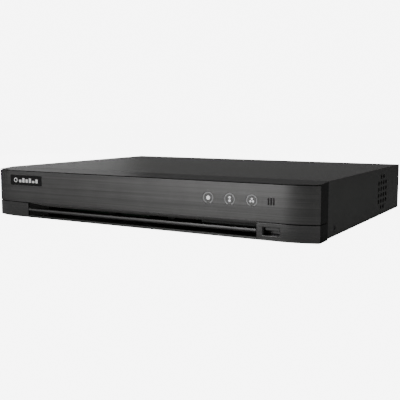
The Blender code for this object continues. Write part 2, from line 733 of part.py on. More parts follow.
def vent_slots(side):
    """Cutters for the round field of slots on one side of the cover."""
    slots = []
    slot = rounded(VENT_LONG, VENT_TALL, VENT_ROUND, 1)
    x0, x1 = sorted((side * (COVER_X - 2 * STEEL), side * (COVER_X + STEEL)))
    for row, count in enumerate(VENT_ROWS):
        up = FAN_Z + VENT_PITCH_Z * ((len(VENT_ROWS) - 1) / 2 - row)
        for column in range(count):
            along = FAN_Y + VENT_PITCH_Y * (column - (count - 1) / 2)
            slots.append(prism(moved_outline(slot, along, up), "X", x0, x1))
    return together(slots)


def build_cover():
    inner = COVER_X - STEEL
    cover = make("top_cover", box((-COVER_X, TRAY_Y, TRAY_Z), (COVER_X, BACK_Y, TOP_Z)))
    cut(cover, box((-inner, TRAY_Y - WALL, TRAY_Z - WALL), (inner, BACK_Y - STEEL, TOP_Z - STEEL)))
    cut(cover, box((-inner, BACK_Y - WALL, TRAY_Z - WALL), (inner, BACK_Y + WALL, TOP_Z - COVER_LIP)))
    cut(cover, vent_slots(1), vent_slots(-1))
    holes = []
    for _, centre, side in side_screws():
        holes.append(countersink(centre, "X" if side > 0 else "-X", GAP))
    for _, centre in rear_screws():
        holes.append(countersink(centre, "Y", GAP))
    cut(cover, together(holes))
    lip = (BACK_Y - WALL, BACK_Y + WALL)
    necks = [rod(JACK_NECK + GAP, *lip, (x, 0, z), "Y", JACK_STEPS) for x, z in video_places()]
    cut(cover, together(necks))
    return paint(cover, STEEL_GREY, 0.5, 0.3)


def foot_places():
    for side, word in ((-1, "left"), (1, "right")):
        yield f"rubber_foot_front_{word}", side * (SIDE_X - FOOT_IN_SIDE), FRONT_Y + FOOT_IN_FRONT
        yield f"rubber_foot_back_{word}", side * (SIDE_X - FOOT_IN_SIDE), BACK_Y - FOOT_IN_BACK


def board_holes():
    """Fixing holes of the main board, over the tray's standoffs."""
    for x in (BOARD_X0 + BOARD_HOLE_IN, (BOARD_X0 + BOARD_X1) / 2, BOARD_X1 - BOARD_HOLE_IN):
        for y in (BOARD_Y0 + BOARD_HOLE_IN, BOARD_Y1 - BOARD_HOLE_IN):
            yield x, y


def drive_pads():
    """Raised pads that carry the drive, near its corners."""
    for x in (DRIVE_X - DRIVE_LONG / 3, DRIVE_X + DRIVE_LONG / 3):
        for y in (DRIVE_Y - DRIVE_WIDE / 3, DRIVE_Y + DRIVE_WIDE / 3):
            yield x, y


def build_tray():
    inner = TRAY_X - STEEL
    tray = make("chassis_tray", box((-TRAY_X, TRAY_Y, TRAY_Z), (TRAY_X, PANEL_Y, TRAY_TOP_Z)))
    cut(tray, box((-inner, TRAY_Y + STEEL, FLOOR_Z), (inner, PANEL_IN_Y, TOP_Z)))
    sides = (TRAY_X + WALL, TRAY_Y + STEEL + CORNER_TAB, FLOOR_Z + FLANGE_TALL)
    cut(tray, box((-sides[0], sides[1], sides[2]), (sides[0], PANEL_IN_Y - CORNER_TAB, TOP_Z)))
    half = FAN_SIZE / 2 + WALL
    cut(tray, box((inner - GAP, FAN_Y - half, FLOOR_Z + STEEL), (TRAY_X + WALL, FAN_Y + half, TOP_Z)))
    # Air windows in the front wall, and one for the front board's ribbon
    windows = []
    low, high = BEZEL_Z + AIR_WINDOW_LOW, BEZEL_Z + AIR_WINDOW_HIGH
    x = ribbon_x()
    start = INTAKE_X0 + RAMP_RUN
    pitch = (x - WINDOW_WIDE / 2 - start) / AIR_WINDOWS
    for index in range(AIR_WINDOWS):
        left = start + pitch * index
        right = left + pitch - WINDOW_WEB
        windows.append(box((left, TRAY_Y - STEEL, low), (right, TRAY_Y + 2 * STEEL, high)))
    windows.append(box_at((x, TRAY_Y, BEZEL_Z + WINDOW_UP), (WINDOW_WIDE, 4 * STEEL, WINDOW_TALL)))
    cut(tray, together(windows))
    stud = (FOOT_STUD + GAP, TRAY_Z - FOOT_STUD_UP, FLOOR_Z + FOOT_STUD_UP)
    cut(tray, together([rod(*stud, (x, y, 0)) for _, x, y in foot_places()]))
    standoffs = []
    for x, y in board_holes():
        foot, thread_end = FLOOR_Z - STEEL / 2, FLOOR_Z + STEEL
        profile = [(0, foot), (STANDOFF_RADIUS, foot), (STANDOFF_RADIUS, BOARD_Z - GAP)]
        profile += [(BOARD_HOLE, BOARD_Z - GAP), (BOARD_HOLE, thread_end), (0, thread_end)]
        standoffs.append(turned(profile, (x, y, 0), "Z", 10))
    for x, y in drive_pads():
        standoffs.append(rod(PAD_RADIUS, FLOOR_Z - STEEL / 2, DRIVE_Z - GAP, (x, y, 0), "Z", 10))
    join(tray, together(standoffs))
    holes = [countersink(centre, "X" if side > 0 else "-X", GAP) for _, centre, side in side_screws()]
    holes += [countersink(centre, "Y", GAP) for _, centre in rear_screws()]
    cut(tray, together(holes))
    cut(tray, together(panel_holes()))
    return paint(tray, ZINC, 0.4, 0.9)


def build_fixings():
    for name, x, y in foot_places():
        stud_top = FLOOR_Z + FOOT_STUD_UP
        profile = [(0, 0), (FOOT_RADIUS - FOOT_EDGE, 0), (FOOT_RADIUS, FOOT_EDGE)]
        profile += [(FOOT_RADIUS, TRAY_Z - GAP), (FOOT_STUD, TRAY_Z - GAP)]
        profile += [(FOOT_STUD, stud_top), (0, stud_top)]
        paint(make(name, turned(profile, (x, y, 0), "Z", 12)), (0.015, 0.015, 0.015), 0.9)
    for name, centre, side in side_screws():
        paint(make(name, countersink(centre, "X" if side > 0 else "-X", 0)), BLACK, 0.35, 0.9)
    for name, centre in rear_screws():
        paint(make(name, countersink(centre, "Y", 0)), BLACK, 0.35, 0.9)


# ---- Boards and fan ----


def build_boards():
    board = make("main_board", box((BOARD_X0, BOARD_Y0, BOARD_Z), (BOARD_X1, BOARD_Y1, BOARD_TOP)))
    bore = (BOARD_HOLE, BOARD_Z - WALL, BOARD_TOP + WALL)
    cut(board, together([rod(*bore, (x, y, 0), "Z", 10) for x, y in board_holes()]))
    paint(board, BOARD_GREEN, 0.4)
    y = BOARD_Y0 + SINK_FRONT_GAP + SINK_SIZE / 2
    low = BOARD_TOP + GAP
    half = SINK_SIZE / 2
    fin_pitch = (SINK_SIZE - SINK_FIN) / (SINK_FINS - 1)
    foot, tip = low + SINK_BASE, low + SINK_TALL
    outline = [(SINK_X - half, low), (SINK_X + half, low)]
    for index in reversed(range(SINK_FINS)):
        left = SINK_X - half + fin_pitch * index
        right = left + SINK_FIN
        outline += [(right, foot), (right, tip), (left, tip), (left, foot)]
    paint(make("heat_sink", prism(outline, "Y", y - half, y + half)), (0.05, 0.05, 0.055), 0.5, 0.9)
    cell = rod(CELL_RADIUS, BOARD_TOP + GAP, BOARD_TOP + GAP + CELL_THICK, (CELL_X, y, 0), "Z", 18)
    paint(make("coin_cell", cell), ZINC, 0.3, 1.0)


def build_fan():
    """A square fan that blows along +X, its rotor's origin on the shaft."""
    centre = (FAN_X, FAN_Y, FAN_Z)
    half = FAN_THICK / 2
    outline = rounded(FAN_SIZE, FAN_SIZE, FAN_CORNER)
    frame = make("fan_frame", prism(outline, "X", -half, half), centre)
    cut(frame, rod(FAN_BORE, -FAN_THICK, FAN_THICK, along="X", steps=24))
    join(frame, rod(FAN_HUB, -half, -half + FAN_STRUT, along="X", steps=16))
    for turn in range(FAN_STRUTS):
        low = (-half, FAN_HUB - HUB_EDGE, -HUB_EDGE)
        arm = box(low, (-half + FAN_STRUT, FAN_BORE + FAN_RIM, HUB_EDGE))
        angle = 2 * pi * (turn + 0.5) / FAN_STRUTS
        bmesh.ops.rotate(arm, verts=arm.verts, matrix=Matrix.Rotation(angle, 3, "X"))
        join(frame, arm)
    join(frame, rod(FAN_SHAFT, -half + FAN_STRUT / 2, half - WALL, along="X", steps=10))
    paint(frame, BLACK, 0.5)

    low, high = -half + FAN_STRUT + GAP, half - HUB_EDGE / 2
    bore = FAN_SHAFT + FINE_GAP
    profile = [(0, high), (FAN_HUB - HUB_EDGE, high), (FAN_HUB, high - HUB_EDGE), (FAN_HUB, low)]
    profile += [(bore, low), (bore, half - WALL + GAP), (0, half - WALL + GAP)]
    rotor = make("fan_rotor", turned(profile, along="X", steps=14), centre)
    across = Vector((BLADE_CHORD / 2, BLADE_THICK / 2, 0))
    blades = []
    for index in range(BLADES):
        blade = box(Vector((0, 0, FAN_HUB - HUB_EDGE)) - across, Vector((0, 0, BLADE_TIP)) + across)
        bmesh.ops.rotate(blade, verts=blade.verts, matrix=Matrix.Rotation(radians(BLADE_ANGLE), 3, "Z"))
        bmesh.ops.translate(blade, verts=blade.verts, vec=((low + high) / 2, 0, 0))
        bmesh.ops.rotate(blade, verts=blade.verts, matrix=Matrix.Rotation(2 * pi * index / BLADES, 3, "X"))
        blades.append(blade)
    join(rotor, together(blades))
    paint(rotor, (0.03, 0.03, 0.03), 0.4)


# ---- Hard drive ----


def build_drive():
    """Drive case with its spindle and pivot posts, lid, board, platters and head arm."""
    half_x, half_y = DRIVE_LONG / 2, DRIVE_WIDE / 2
    low = DRIVE_Z + BOARD_THICK + GAP
    lid_low = DRIVE_Z + DRIVE_TALL - DRIVE_LID
    high = lid_low - GAP

    def plate(x_in, bottom, top):
        """A block over the drive's outline, set in by x_in all round."""
        corner = Vector((half_x - x_in, half_y - x_in, 0))
        middle = Vector((DRIVE_X, DRIVE_Y, 0))
        return box(middle - corner + Vector((0, 0, bottom)), middle + corner + Vector((0, 0, top)))

    base = make("drive_base", plate(0, low, high))
    floor = low + DRIVE_FLOOR
    cut(base, plate(DRIVE_WALL, floor, high + WALL))
    spindle = Vector((DRIVE_X - half_x + SPINDLE_IN, DRIVE_Y, floor))
    pivot = spindle + Vector((*ARM_PIVOT, 0))
    post = high - floor - POST_CLEAR
    root = -DRIVE_FLOOR / 4
    join(base, rod(SPINDLE_RADIUS, root, post, spindle, "Z", 16), rod(ARM_PIN, root, post, pivot, "Z", 12))
    paint(base, ZINC, 0.45, 0.9)
    paint(make("drive_lid", plate(0, lid_low, DRIVE_Z + DRIVE_TALL)), ZINC, 0.3, 1.0)
    paint(make("drive_board", plate(DRIVE_BOARD_IN, DRIVE_Z, DRIVE_Z + BOARD_THICK)), BOARD_GREEN, 0.4)

    bore = SPINDLE_RADIUS + FINE_GAP
    profile = [(bore, POST_CLEAR), (HUB_RADIUS, POST_CLEAR)]
    for index in range(PLATTERS):
        under = PLATTER_UP + PLATTER_PITCH * index
        profile += [(HUB_RADIUS, under), (PLATTER_RADIUS, under)]
        profile += [(PLATTER_RADIUS, under + PLATTER_THICK), (HUB_RADIUS, under + PLATTER_THICK)]
    top = PLATTER_UP + PLATTER_PITCH * (PLATTERS - 1) + PLATTER_THICK + HUB_STAND
    profile += [(HUB_RADIUS, top), (bore, top)]
    paint(make("drive_platters", turned(profile, steps=22), spindle), (0.75, 0.76, 0.78), 0.08, 1.0)
    build_head_arm(pivot, post)


def build_head_arm(pivot, post):
    """The head arm, parked with its heads just outside the platters' edge."""
    reach = sqrt(ARM_PIVOT[0] ** 2 + ARM_PIVOT[1] ** 2)
    parked = PLATTER_RADIUS + PARK_CLEAR
    offset = acos((reach**2 + ARM_LONG**2 - parked**2) / (2 * reach * ARM_LONG))
    turn = Matrix.Rotation(atan2(-ARM_PIVOT[1], -ARM_PIVOT[0]) - offset, 3, "Z")
    bore = ARM_PIN + FINE_GAP
    sleeve_top = post - HUB_STAND
    sleeve = [(bore, POST_CLEAR), (ARM_SLEEVE, POST_CLEAR), (ARM_SLEEVE, sleeve_top), (bore, sleeve_top)]
    arm = make("drive_arm", turned(sleeve, steps=14), pivot)
    inner = (bore + ARM_SLEEVE) / 2
    for index in range(PLATTERS):
        under = PLATTER_UP + PLATTER_THICK + PLATTER_PITCH * index + HUB_STAND
        outline = [(inner, -ARM_ROOT), (ARM_LONG, -ARM_TIP), (ARM_LONG, ARM_TIP), (inner, ARM_ROOT)]
        finger = prism(outline, "Z", under, under + ARM_FINGER)
        bmesh.ops.rotate(finger, verts=finger.verts, matrix=turn)
        join(arm, finger)
    outline = [(-inner, -ARM_ROOT), (-inner, ARM_ROOT), (-COIL_REACH, COIL_HALF), (-COIL_REACH, -COIL_HALF)]
    coil = prism(outline, "Z", COIL_UP, COIL_UP + COIL_THICK)
    bmesh.ops.rotate(coil, verts=coil.verts, matrix=turn)
    join(arm, coil)
    paint(arm, ZINC, 0.35, 1.0)


# ---- Rear sockets ----


def video_places():
    lower = BOARD_TOP + GAP + JACK_FLANGE
    for row in range(VIDEO_ROWS):
        for column in range(VIDEO_COLUMNS):
            yield VIDEO_X - VIDEO_PITCH * column, lower + VIDEO_ROW_PITCH * row


def on_board(x, tall):
    """Centre of a socket of a given height that stands on the main board."""
    return x, BOARD_TOP + GAP + tall / 2


def centred(wide, tall, grow=0.0):
    """The outline of a plain rectangle round the middle."""
    half, up = wide / 2 + grow, tall / 2 + grow
    return [(-half, -up), (half, -up), (half, up), (-half, up)]


def d_outline(grow):
    """The D shape of the screen socket's mouth."""
    top, low, half = VGA_MOUTH / 2 + grow, VGA_MOUTH / 2 - VGA_SLANT + grow, VGA_MOUTH_TALL / 2 + grow
    return [(-low, -half), (low, -half), (top, half), (-top, half)]


def hdmi_outline(grow):
    """The mouth of the digital screen socket, with its two lower corners cut off."""
    half, up = HDMI_WIDE / 2 + grow, HDMI_TALL / 2 + grow
    lower = [(-half + HDMI_SLANT, -up), (half - HDMI_SLANT, -up), (half, -up + HDMI_SLANT)]
    return lower + [(half, up), (-half, up), (-half, -up + HDMI_SLANT)]


def through_panel(outline, centre):
    return prism(moved_outline(outline, *centre), "Y", PANEL_IN_Y - STEEL, PANEL_Y + STEEL)


def panel_holes():
    """Every opening of the rear panel, each a clearance wider than what stands in it."""
    span = (PANEL_IN_Y - STEEL, PANEL_Y + STEEL)
    holes = [rod(JACK_NECK + GAP, *span, (x, 0, z), "Y", JACK_STEPS) for x, z in video_places()]
    holes += [rod(AUDIO_BARREL + GAP, *span, (AUDIO_X, 0, z), "Y", JACK_STEPS) for z in audio_heights()]
    centre = on_board(VGA_X, VGA_TALL)
    holes.append(through_panel(d_outline(GAP), centre))
    for side in (-1, 1):
        holes.append(rod(POST_RADIUS + GAP, *span, (centre[0] + side * VGA_POST, 0, centre[1]), "Y", 12))
    holes.append(through_panel(hdmi_outline(GAP), on_board(HDMI_X, HDMI_TALL)))
    wide, _, tall = shell_size(0)
    for x, w, h in (
        (LAN_X, LAN_WIDE, LAN_TALL),
        (REAR_USB_X, wide, tall),
        (TERMINAL_X, TERMINAL_SIZE, TERMINAL_SIZE),
        (DC_X, DC_WIDE, DC_TALL),
    ):
        holes.append(through_panel(centred(w, h, GAP), on_board(x, h)))
    rocker = rocker_sizes()
    body = centred(rocker["body_wide"], rocker["body_tall"], GAP)
    holes.append(through_panel(body, (ROCKER_X, rocker["z"])))
    holes.append(rod(SHANK_RADIUS + GAP, *span, ground_place(), "Y", 12))
    slot = rounded(REAR_VENT_WIDE, REAR_VENT_TALL, REAR_VENT_WIDE / 2 - GAP / 2, 1)
    for index in range(REAR_VENTS):
        x = REAR_VENT_X + REAR_VENT_PITCH * (index - (REAR_VENTS - 1) / 2)
        holes.append(through_panel(slot, (x, BEZEL_Z + REAR_VENT_UP)))
    return holes


def audio_heights():
    lower = BOARD_TOP + GAP + JACK_FLANGE
    return lower, lower + VIDEO_ROW_PITCH


def ground_place():
    return -(SIDE_X - GROUND_IN), 0, BEZEL_Z + GROUND_UP


def rocker_sizes():
    """The rocker's swing needs a pocket a little taller than the rocker itself."""
    rise = ROCKER_RISE + ROCKER_HALF * sin(radians(ROCKER_TILT))
    swing = sqrt(rise**2 + ROCKER_HALF**2)
    angle = atan2(rise, ROCKER_HALF) - radians(ROCKER_TILT)
    pocket_tall = 2 * (swing * cos(angle) + GAP)
    return {
        "z": BEZEL_Z + CASE_HEIGHT / 2,
        "pocket_wide": ROCKER_WIDE + 2 * GAP,
        "pocket_tall": pocket_tall,
        "body_wide": ROCKER_WIDE + 2 * GAP + 2 * WALL,
        "body_tall": pocket_tall + 2 * WALL,
        "rise": rise,
        "pivot_y": PANEL_Y - ROCKER_PIVOT_IN,
    }


def build_video_jacks():
    reach = BACK_Y + JACK_REACH
    inner = PANEL_IN_Y - GAP
    collar, floor, tip = PANEL_Y + JACK_COLLAR, reach - JACK_BORE_DEPTH, reach - JACK_CORE_IN
    profile = [(0, inner - JACK_INSIDE), (JACK_FLANGE, inner - JACK_INSIDE), (JACK_FLANGE, inner)]
    profile += [(JACK_NECK, inner), (JACK_NECK, collar), (JACK_BARREL, collar), (JACK_BARREL, reach)]
    profile += [(JACK_BORE, reach), (JACK_BORE, floor), (JACK_CORE, floor), (JACK_CORE, tip), (0, tip)]
    for index, (x, z) in enumerate(video_places()):
        jack = make(f"video_jack_{index + 1}", turned(profile, (x, 0, z), "Y", 10))
        lug = (JACK_LUG, JACK_BARREL - GAP, JACK_BARREL + JACK_LUG, (x, reach - JACK_LUG_IN, z))
        join(jack, together([rod(*lug, "X", 6), rod(*lug, "-X", 6)]))
        paint(jack, ZINC, 0.25, 1.0)


def build_audio():
    low, high = audio_heights()
    inner = PANEL_IN_Y - GAP
    size = (AUDIO_WIDE, JACK_INSIDE, high - low + AUDIO_WIDE)
    jacks = make("audio_jacks", box_at((AUDIO_X, inner - JACK_INSIDE / 2, (low + high) / 2), size))
    barrel = (AUDIO_BARREL, inner - STEEL, PANEL_Y + AUDIO_REACH)
    for z in (low, high):
        join(jacks, rod(*barrel, (AUDIO_X, 0, z), "Y", JACK_STEPS))
    bore = (AUDIO_BORE, PANEL_Y, PANEL_Y + AUDIO_REACH + WALL)
    cut(jacks, together([rod(*bore, (AUDIO_X, 0, z), "Y", 10) for z in (low, high)]))
    paint(jacks, BLACK, 0.4)


def build_screen_sockets():
    inner = PANEL_IN_Y - GAP
    x, z = on_board(VGA_X, VGA_TALL)
    size = (VGA_WIDE, SOCKET_INSIDE, VGA_TALL)
    vga = make("vga_port", box_at((x, inner - SOCKET_INSIDE / 2, z), size))
    join(vga, prism(moved_outline(d_outline(0), x, z), "Y", inner - STEEL, PANEL_Y + VGA_REACH))
    post = (POST_RADIUS, inner - STEEL, PANEL_Y + POST_REACH)
    join(vga, together([rod(*post, (x + side * VGA_POST, 0, z), "Y", 6) for side in (-1, 1)]))
    mouth = moved_outline(d_outline(-VGA_SHELL), x, z)
    cut(vga, prism(mouth, "Y", PANEL_Y, PANEL_Y + VGA_REACH + WALL))
    paint(vga, ZINC, 0.35, 0.9)

    x, z = on_board(HDMI_X, HDMI_TALL)
    face = PANEL_Y + HDMI_PROUD
    hdmi = make("hdmi_port", prism(moved_outline(hdmi_outline(0), x, z), "Y", face - HDMI_DEEP, face))
    mouth = moved_outline(hdmi_outline(-HDMI_SHELL), x, z)
    cut(hdmi, prism(mouth, "Y", face - HDMI_MOUTH_DEEP, face + WALL))
    middle = z + HDMI_TONGUE_UP
    low = (x - HDMI_TONGUE / 2, face - HDMI_MOUTH_DEEP - STEEL, middle - HDMI_TONGUE_TALL / 2)
    join(hdmi, box(low, (x + HDMI_TONGUE / 2, face - HDMI_TONGUE_IN, middle + HDMI_TONGUE_TALL / 2)))
    paint(hdmi, ZINC, 0.3, 1.0)


def build_data_sockets():
    x, z = on_board(LAN_X, LAN_TALL)
    face = PANEL_Y + METAL_PROUD
    lan = make("lan_port", box_at((x, face - LAN_DEEP / 2, z), (LAN_WIDE, LAN_DEEP, LAN_TALL)))
    low = z - LAN_TALL / 2 + LAN_MOUTH_UP
    high = low + LAN_MOUTH_TALL
    mouth = (x - LAN_MOUTH / 2, face - LAN_MOUTH_DEEP, low)
    cut(lan, box(mouth, (x + LAN_MOUTH / 2, face + WALL, high)))
    latch = (x - LATCH_WIDE / 2, face - LATCH_DEEP, high - STEEL)
    cut(lan, box(latch, (x + LATCH_WIDE / 2, face + WALL, high + LATCH_TALL)))
    paint(lan, ZINC, 0.3, 1.0)

    wide, _, tall = shell_size(0)
    x, z = on_board(REAR_USB_X, tall)
    usb = make("rear_usb_port", box_at((x, face - REAR_USB_DEEP / 2, z), (wide, REAR_USB_DEEP, tall)))
    mouth = (x - USB_WIDE / 2, face - USB_DEPTH, z - USB_TALL / 2)
    cut(usb, box(mouth, (x + USB_WIDE / 2, face + WALL, z + USB_TALL / 2)))
    join(usb, usb_blade(x, z, face - USB_DEPTH - TONGUE_IN, face - TONGUE_IN))
    paint(usb, ZINC, 0.3, 1.0)


def build_terminal():
    """The two-wire control terminal, and its two sprung release levers."""
    x, z = on_board(TERMINAL_X, TERMINAL_SIZE)
    face = PANEL_Y + TERMINAL_PROUD
    block = make("control_terminal", box_at((x, face - TERMINAL_SIZE / 2, z), (TERMINAL_SIZE,) * 3))
    lever_z = z + LEVER_UP
    pockets = []
    for side in (-1, 1):
        centre = x + side * LEVER_PITCH / 2
        size = (LEVER_WIDE + 2 * GAP, 2 * LEVER_DEEP, LEVER_TALL + 2 * GAP)
        pockets.append(box_at((centre, face, lever_z), size))
        pockets.append(rod(WIRE_HOLE, -LEVER_DEEP, LEVER_DEEP, (centre, face, z - WIRE_DOWN), "Y", 10))
    cut(block, together(pockets))
    paint(block, (0.02, 0.25, 0.12), 0.5)
    length = LEVER_DEEP - GAP
    for side, word in ((-1, "left"), (1, "right")):
        lever = box_at((0, -length / 2, 0), (LEVER_WIDE, length, LEVER_TALL))
        place = (x + side * LEVER_PITCH / 2, face + LEVER_TRAVEL, lever_z)
        paint(make(f"release_lever_{word}", lever, place), (0.8, 0.35, 0.05), 0.5)


def build_power():
    """Supply inlet, power rocker in its housing, and the earth screw."""
    x, z = on_board(DC_X, DC_TALL)
    face = PANEL_Y + DC_PROUD
    dc = make("dc_jack", box_at((x, face - DC_DEEP / 2, z), (DC_WIDE, DC_DEEP, DC_TALL)))
    cut(dc, rod(DC_BORE, face - DC_BORE_DEEP, face + WALL, (x, 0, z), "Y", 16))
    join(dc, rod(DC_PIN, face - DC_BORE_DEEP - DC_PIN_IN, face - DC_PIN_IN, (x, 0, z), "Y", 10))
    paint(dc, BLACK, 0.4)

    sizes = rocker_sizes()
    z, pivot = sizes["z"], sizes["pivot_y"]
    wide, tall = sizes["body_wide"], sizes["body_tall"]
    flange = (wide + 2 * HOUSING_EDGE, HOUSING_FLANGE, tall + 2 * HOUSING_EDGE)
    housing = make("rocker_housing", box_at((ROCKER_X, PANEL_Y + GAP + HOUSING_FLANGE / 2, z), flange))
    mouth = PANEL_Y + HOUSING_PROUD
    join(housing, box_at((ROCKER_X, mouth - HOUSING_DEEP / 2, z), (wide, HOUSING_DEEP, tall)))
    pocket = (sizes["pocket_wide"], 2 * (HOUSING_DEEP - HOUSING_BASE), sizes["pocket_tall"])
    cut(housing, box_at((ROCKER_X, mouth, z), pocket))
    paint(housing, BLACK, 0.45)

    rise = sizes["rise"]
    side = [(rise, ROCKER_HALF), (ROCKER_RISE, 0), (rise, -ROCKER_HALF), (0, -ROCKER_HALF)]
    side += [(-ROCKER_KEEL, -ROCKER_KEEL_HALF), (-ROCKER_KEEL, ROCKER_KEEL_HALF), (0, ROCKER_HALF)]
    rocker = make("power_rocker", prism(side, "X", -ROCKER_WIDE / 2, ROCKER_WIDE / 2), (ROCKER_X, pivot, z))
    rocker.rotation_euler = (radians(-ROCKER_TILT), 0, 0)
    paint(rocker, (0.02, 0.02, 0.02), 0.35)

    x, _, z = ground_place()
    under, end = PANEL_Y + GAP, PANEL_IN_Y - GROUND_SHANK
    head = [(0, under + GROUND_HEAD_TALL), (GROUND_HEAD_TOP, under + GROUND_HEAD_EDGE)]
    head += [(GROUND_HEAD, under), (SHANK_RADIUS, under), (SHANK_RADIUS, end), (0, end)]
    paint(make("ground_screw", turned(head, (x, 0, z), "Y", 14)), ZINC, 0.3, 1.0)


# ---- Leads ----


def ribbon_x():
    return SIDE_X - FRONT_BOARD_FROM_RIGHT - FRONT_BOARD_WIDE / 2


def smooth_route(points, per_span=3):
    """A smooth curve through the route's own points."""
    ends = [2 * points[0] - points[1]] + points + [2 * points[-1] - points[-2]]
    route = []
    for a, b, c, d in zip(ends, ends[1:], ends[2:], ends[3:]):
        for step in range(per_span):
            t = step / per_span
            square, cube = 2 * a - 5 * b + 4 * c - d, 3 * b - a - 3 * c + d
            route.append(0.5 * (2 * b + (c - a) * t + square * t**2 + cube * t**3))
    return route + [points[-1]]


def lead(name, points, radius, color):
    """A round lead along a smooth route."""
    route = smooth_route([Vector(point) for point in points])
    curve = bpy.data.curves.new(name, "CURVE")
    curve.dimensions = "3D"
    curve.bevel_depth = radius
    curve.bevel_resolution = 2
    curve.use_fill_caps = True
    spline = curve.splines.new("POLY")
    spline.points.add(len(route) - 1)
    for point, place in zip(spline.points, route):
        point.co = (*place, 1)
    obj = bpy.data.objects.new(name, curve)
    bpy.context.scene.collection.objects.link(obj)
    paint(obj, color, 0.5)


def build_leads():
    x = ribbon_x()
    start_y = FRONT_BOARD_Y + BOARD_THICK + GAP
    up = BEZEL_Z + 17 * MM
    over_board = BOARD_TOP + GAP + RIBBON_RADIUS + MM
    lead("ribbon_lead", [
        (x, start_y, up),
        (x, TRAY_Y, up),
        (x, TRAY_Y + 12 * MM, up - 4 * MM),
        (x, TRAY_Y + 35 * MM, FLOOR_Z + 5 * MM),
        (x, BOARD_Y0 - 25 * MM, FLOOR_Z + 5 * MM),
        (x, BOARD_Y0 - 4 * MM, over_board),
        (x, BOARD_Y0 + 8 * MM, over_board),
    ], RIBBON_RADIUS, (0.5, 0.5, 0.5))
    end_x = DRIVE_X + DRIVE_LONG / 2 + GAP
    up = DRIVE_Z + 7 * MM
    over_board = BOARD_TOP + GAP + SATA_RADIUS + MM
    for name, start, finish, color in (
        ("sata_data_lead", -12 * MM, 8 * MM, (0.5, 0.03, 0.02)),
        ("sata_power_lead", 12 * MM, -4 * MM, (0.02, 0.02, 0.02)),
    ):
        lead(name, [
            (end_x, DRIVE_Y + start, up),
            (end_x + 8 * MM - finish / 4, DRIVE_Y + start + MM, up),
            (end_x + 16 * MM + finish, DRIVE_Y + start + 14 * MM, up),
            (end_x + 18 * MM + finish, BOARD_Y0 - 8 * MM, up - MM),
            (end_x + 18 * MM + finish, BOARD_Y0 + 8 * MM, over_board),
        ], SATA_RADIUS, color)
    fan_side = FAN_X - FAN_THICK / 2 - GAP
    over_board = BOARD_TOP + GAP + FAN_LEAD_RADIUS + MM
    lead("fan_lead", [
        (fan_side, FAN_Y - 16 * MM, over_board + 2 * MM),
        (fan_side - 5 * MM, FAN_Y - 16 * MM, over_board + 2 * MM),
        (fan_side - 12 * MM, FAN_Y - 17 * MM, over_board),
        (fan_side - 20 * MM, FAN_Y - 18 * MM, over_board),
    ], FAN_LEAD_RADIUS, (0.02, 0.02, 0.02))


def clear_scene():
    for obj in list(bpy.data.objects):
        bpy.data.objects.remove(obj, do_unlink=True)


def main():
    clear_scene()
    build_bezel()
    build_plates()
    build_front_parts()
    build_cover()
    build_tray()
    build_fixings()
    build_boards()
    build_fan()
    build_drive()
    build_video_jacks()
    build_audio()
    build_screen_sockets()
    build_data_sockets()
    build_terminal()
    build_power()
    build_leads()


if __name__ == "__main__":
    main()
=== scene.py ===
"""A compact video recorder: brushed front plates, moulded front, steel case, rear sockets and what it holds.

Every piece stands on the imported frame's own boxes. +Z is up and the front faces -Y. Lengths are in metres,
and the tables of profiles and board parts give them in millimetres.
"""

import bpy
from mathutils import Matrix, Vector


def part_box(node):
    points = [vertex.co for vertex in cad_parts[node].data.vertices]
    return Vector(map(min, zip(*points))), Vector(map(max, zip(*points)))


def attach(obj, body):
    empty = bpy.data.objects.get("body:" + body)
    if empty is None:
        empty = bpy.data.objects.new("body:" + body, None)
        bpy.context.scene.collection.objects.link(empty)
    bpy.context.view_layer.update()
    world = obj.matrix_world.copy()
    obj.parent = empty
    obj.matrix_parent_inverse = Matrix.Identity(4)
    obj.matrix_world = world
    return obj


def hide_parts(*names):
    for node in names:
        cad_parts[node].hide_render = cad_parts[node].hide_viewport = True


bl_info = {
    "name": "Video Recorder",
    "version": (1, 0, 0),
    "blender": (4, 5, 0),
    "location": "3D View > Sidebar > Recorder",
    "description": "Models a video recorder's front, case, sockets and insides on its packed frame",
    "category": "Object",
}

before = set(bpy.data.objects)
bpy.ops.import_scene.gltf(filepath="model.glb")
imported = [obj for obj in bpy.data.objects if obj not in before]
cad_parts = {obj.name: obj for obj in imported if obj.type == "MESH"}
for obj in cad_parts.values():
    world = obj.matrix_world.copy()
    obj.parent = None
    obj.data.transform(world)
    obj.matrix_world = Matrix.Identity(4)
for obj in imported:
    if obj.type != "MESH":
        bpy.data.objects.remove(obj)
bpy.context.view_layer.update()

from math import cos, radians, sin

import bmesh
import bpy
from mathutils import Matrix, Vector

MM = 0.001
X, Y, Z = Vector((1, 0, 0)), Vector((0, 1, 0)), Vector((0, 0, 1))
CASE = "case"
MERGE = 0.002 * MM  # points of a CAD node nearer than this are one point
SINK = 0.1 * MM  # how far a piece that stands on another reaches into it


# Settings


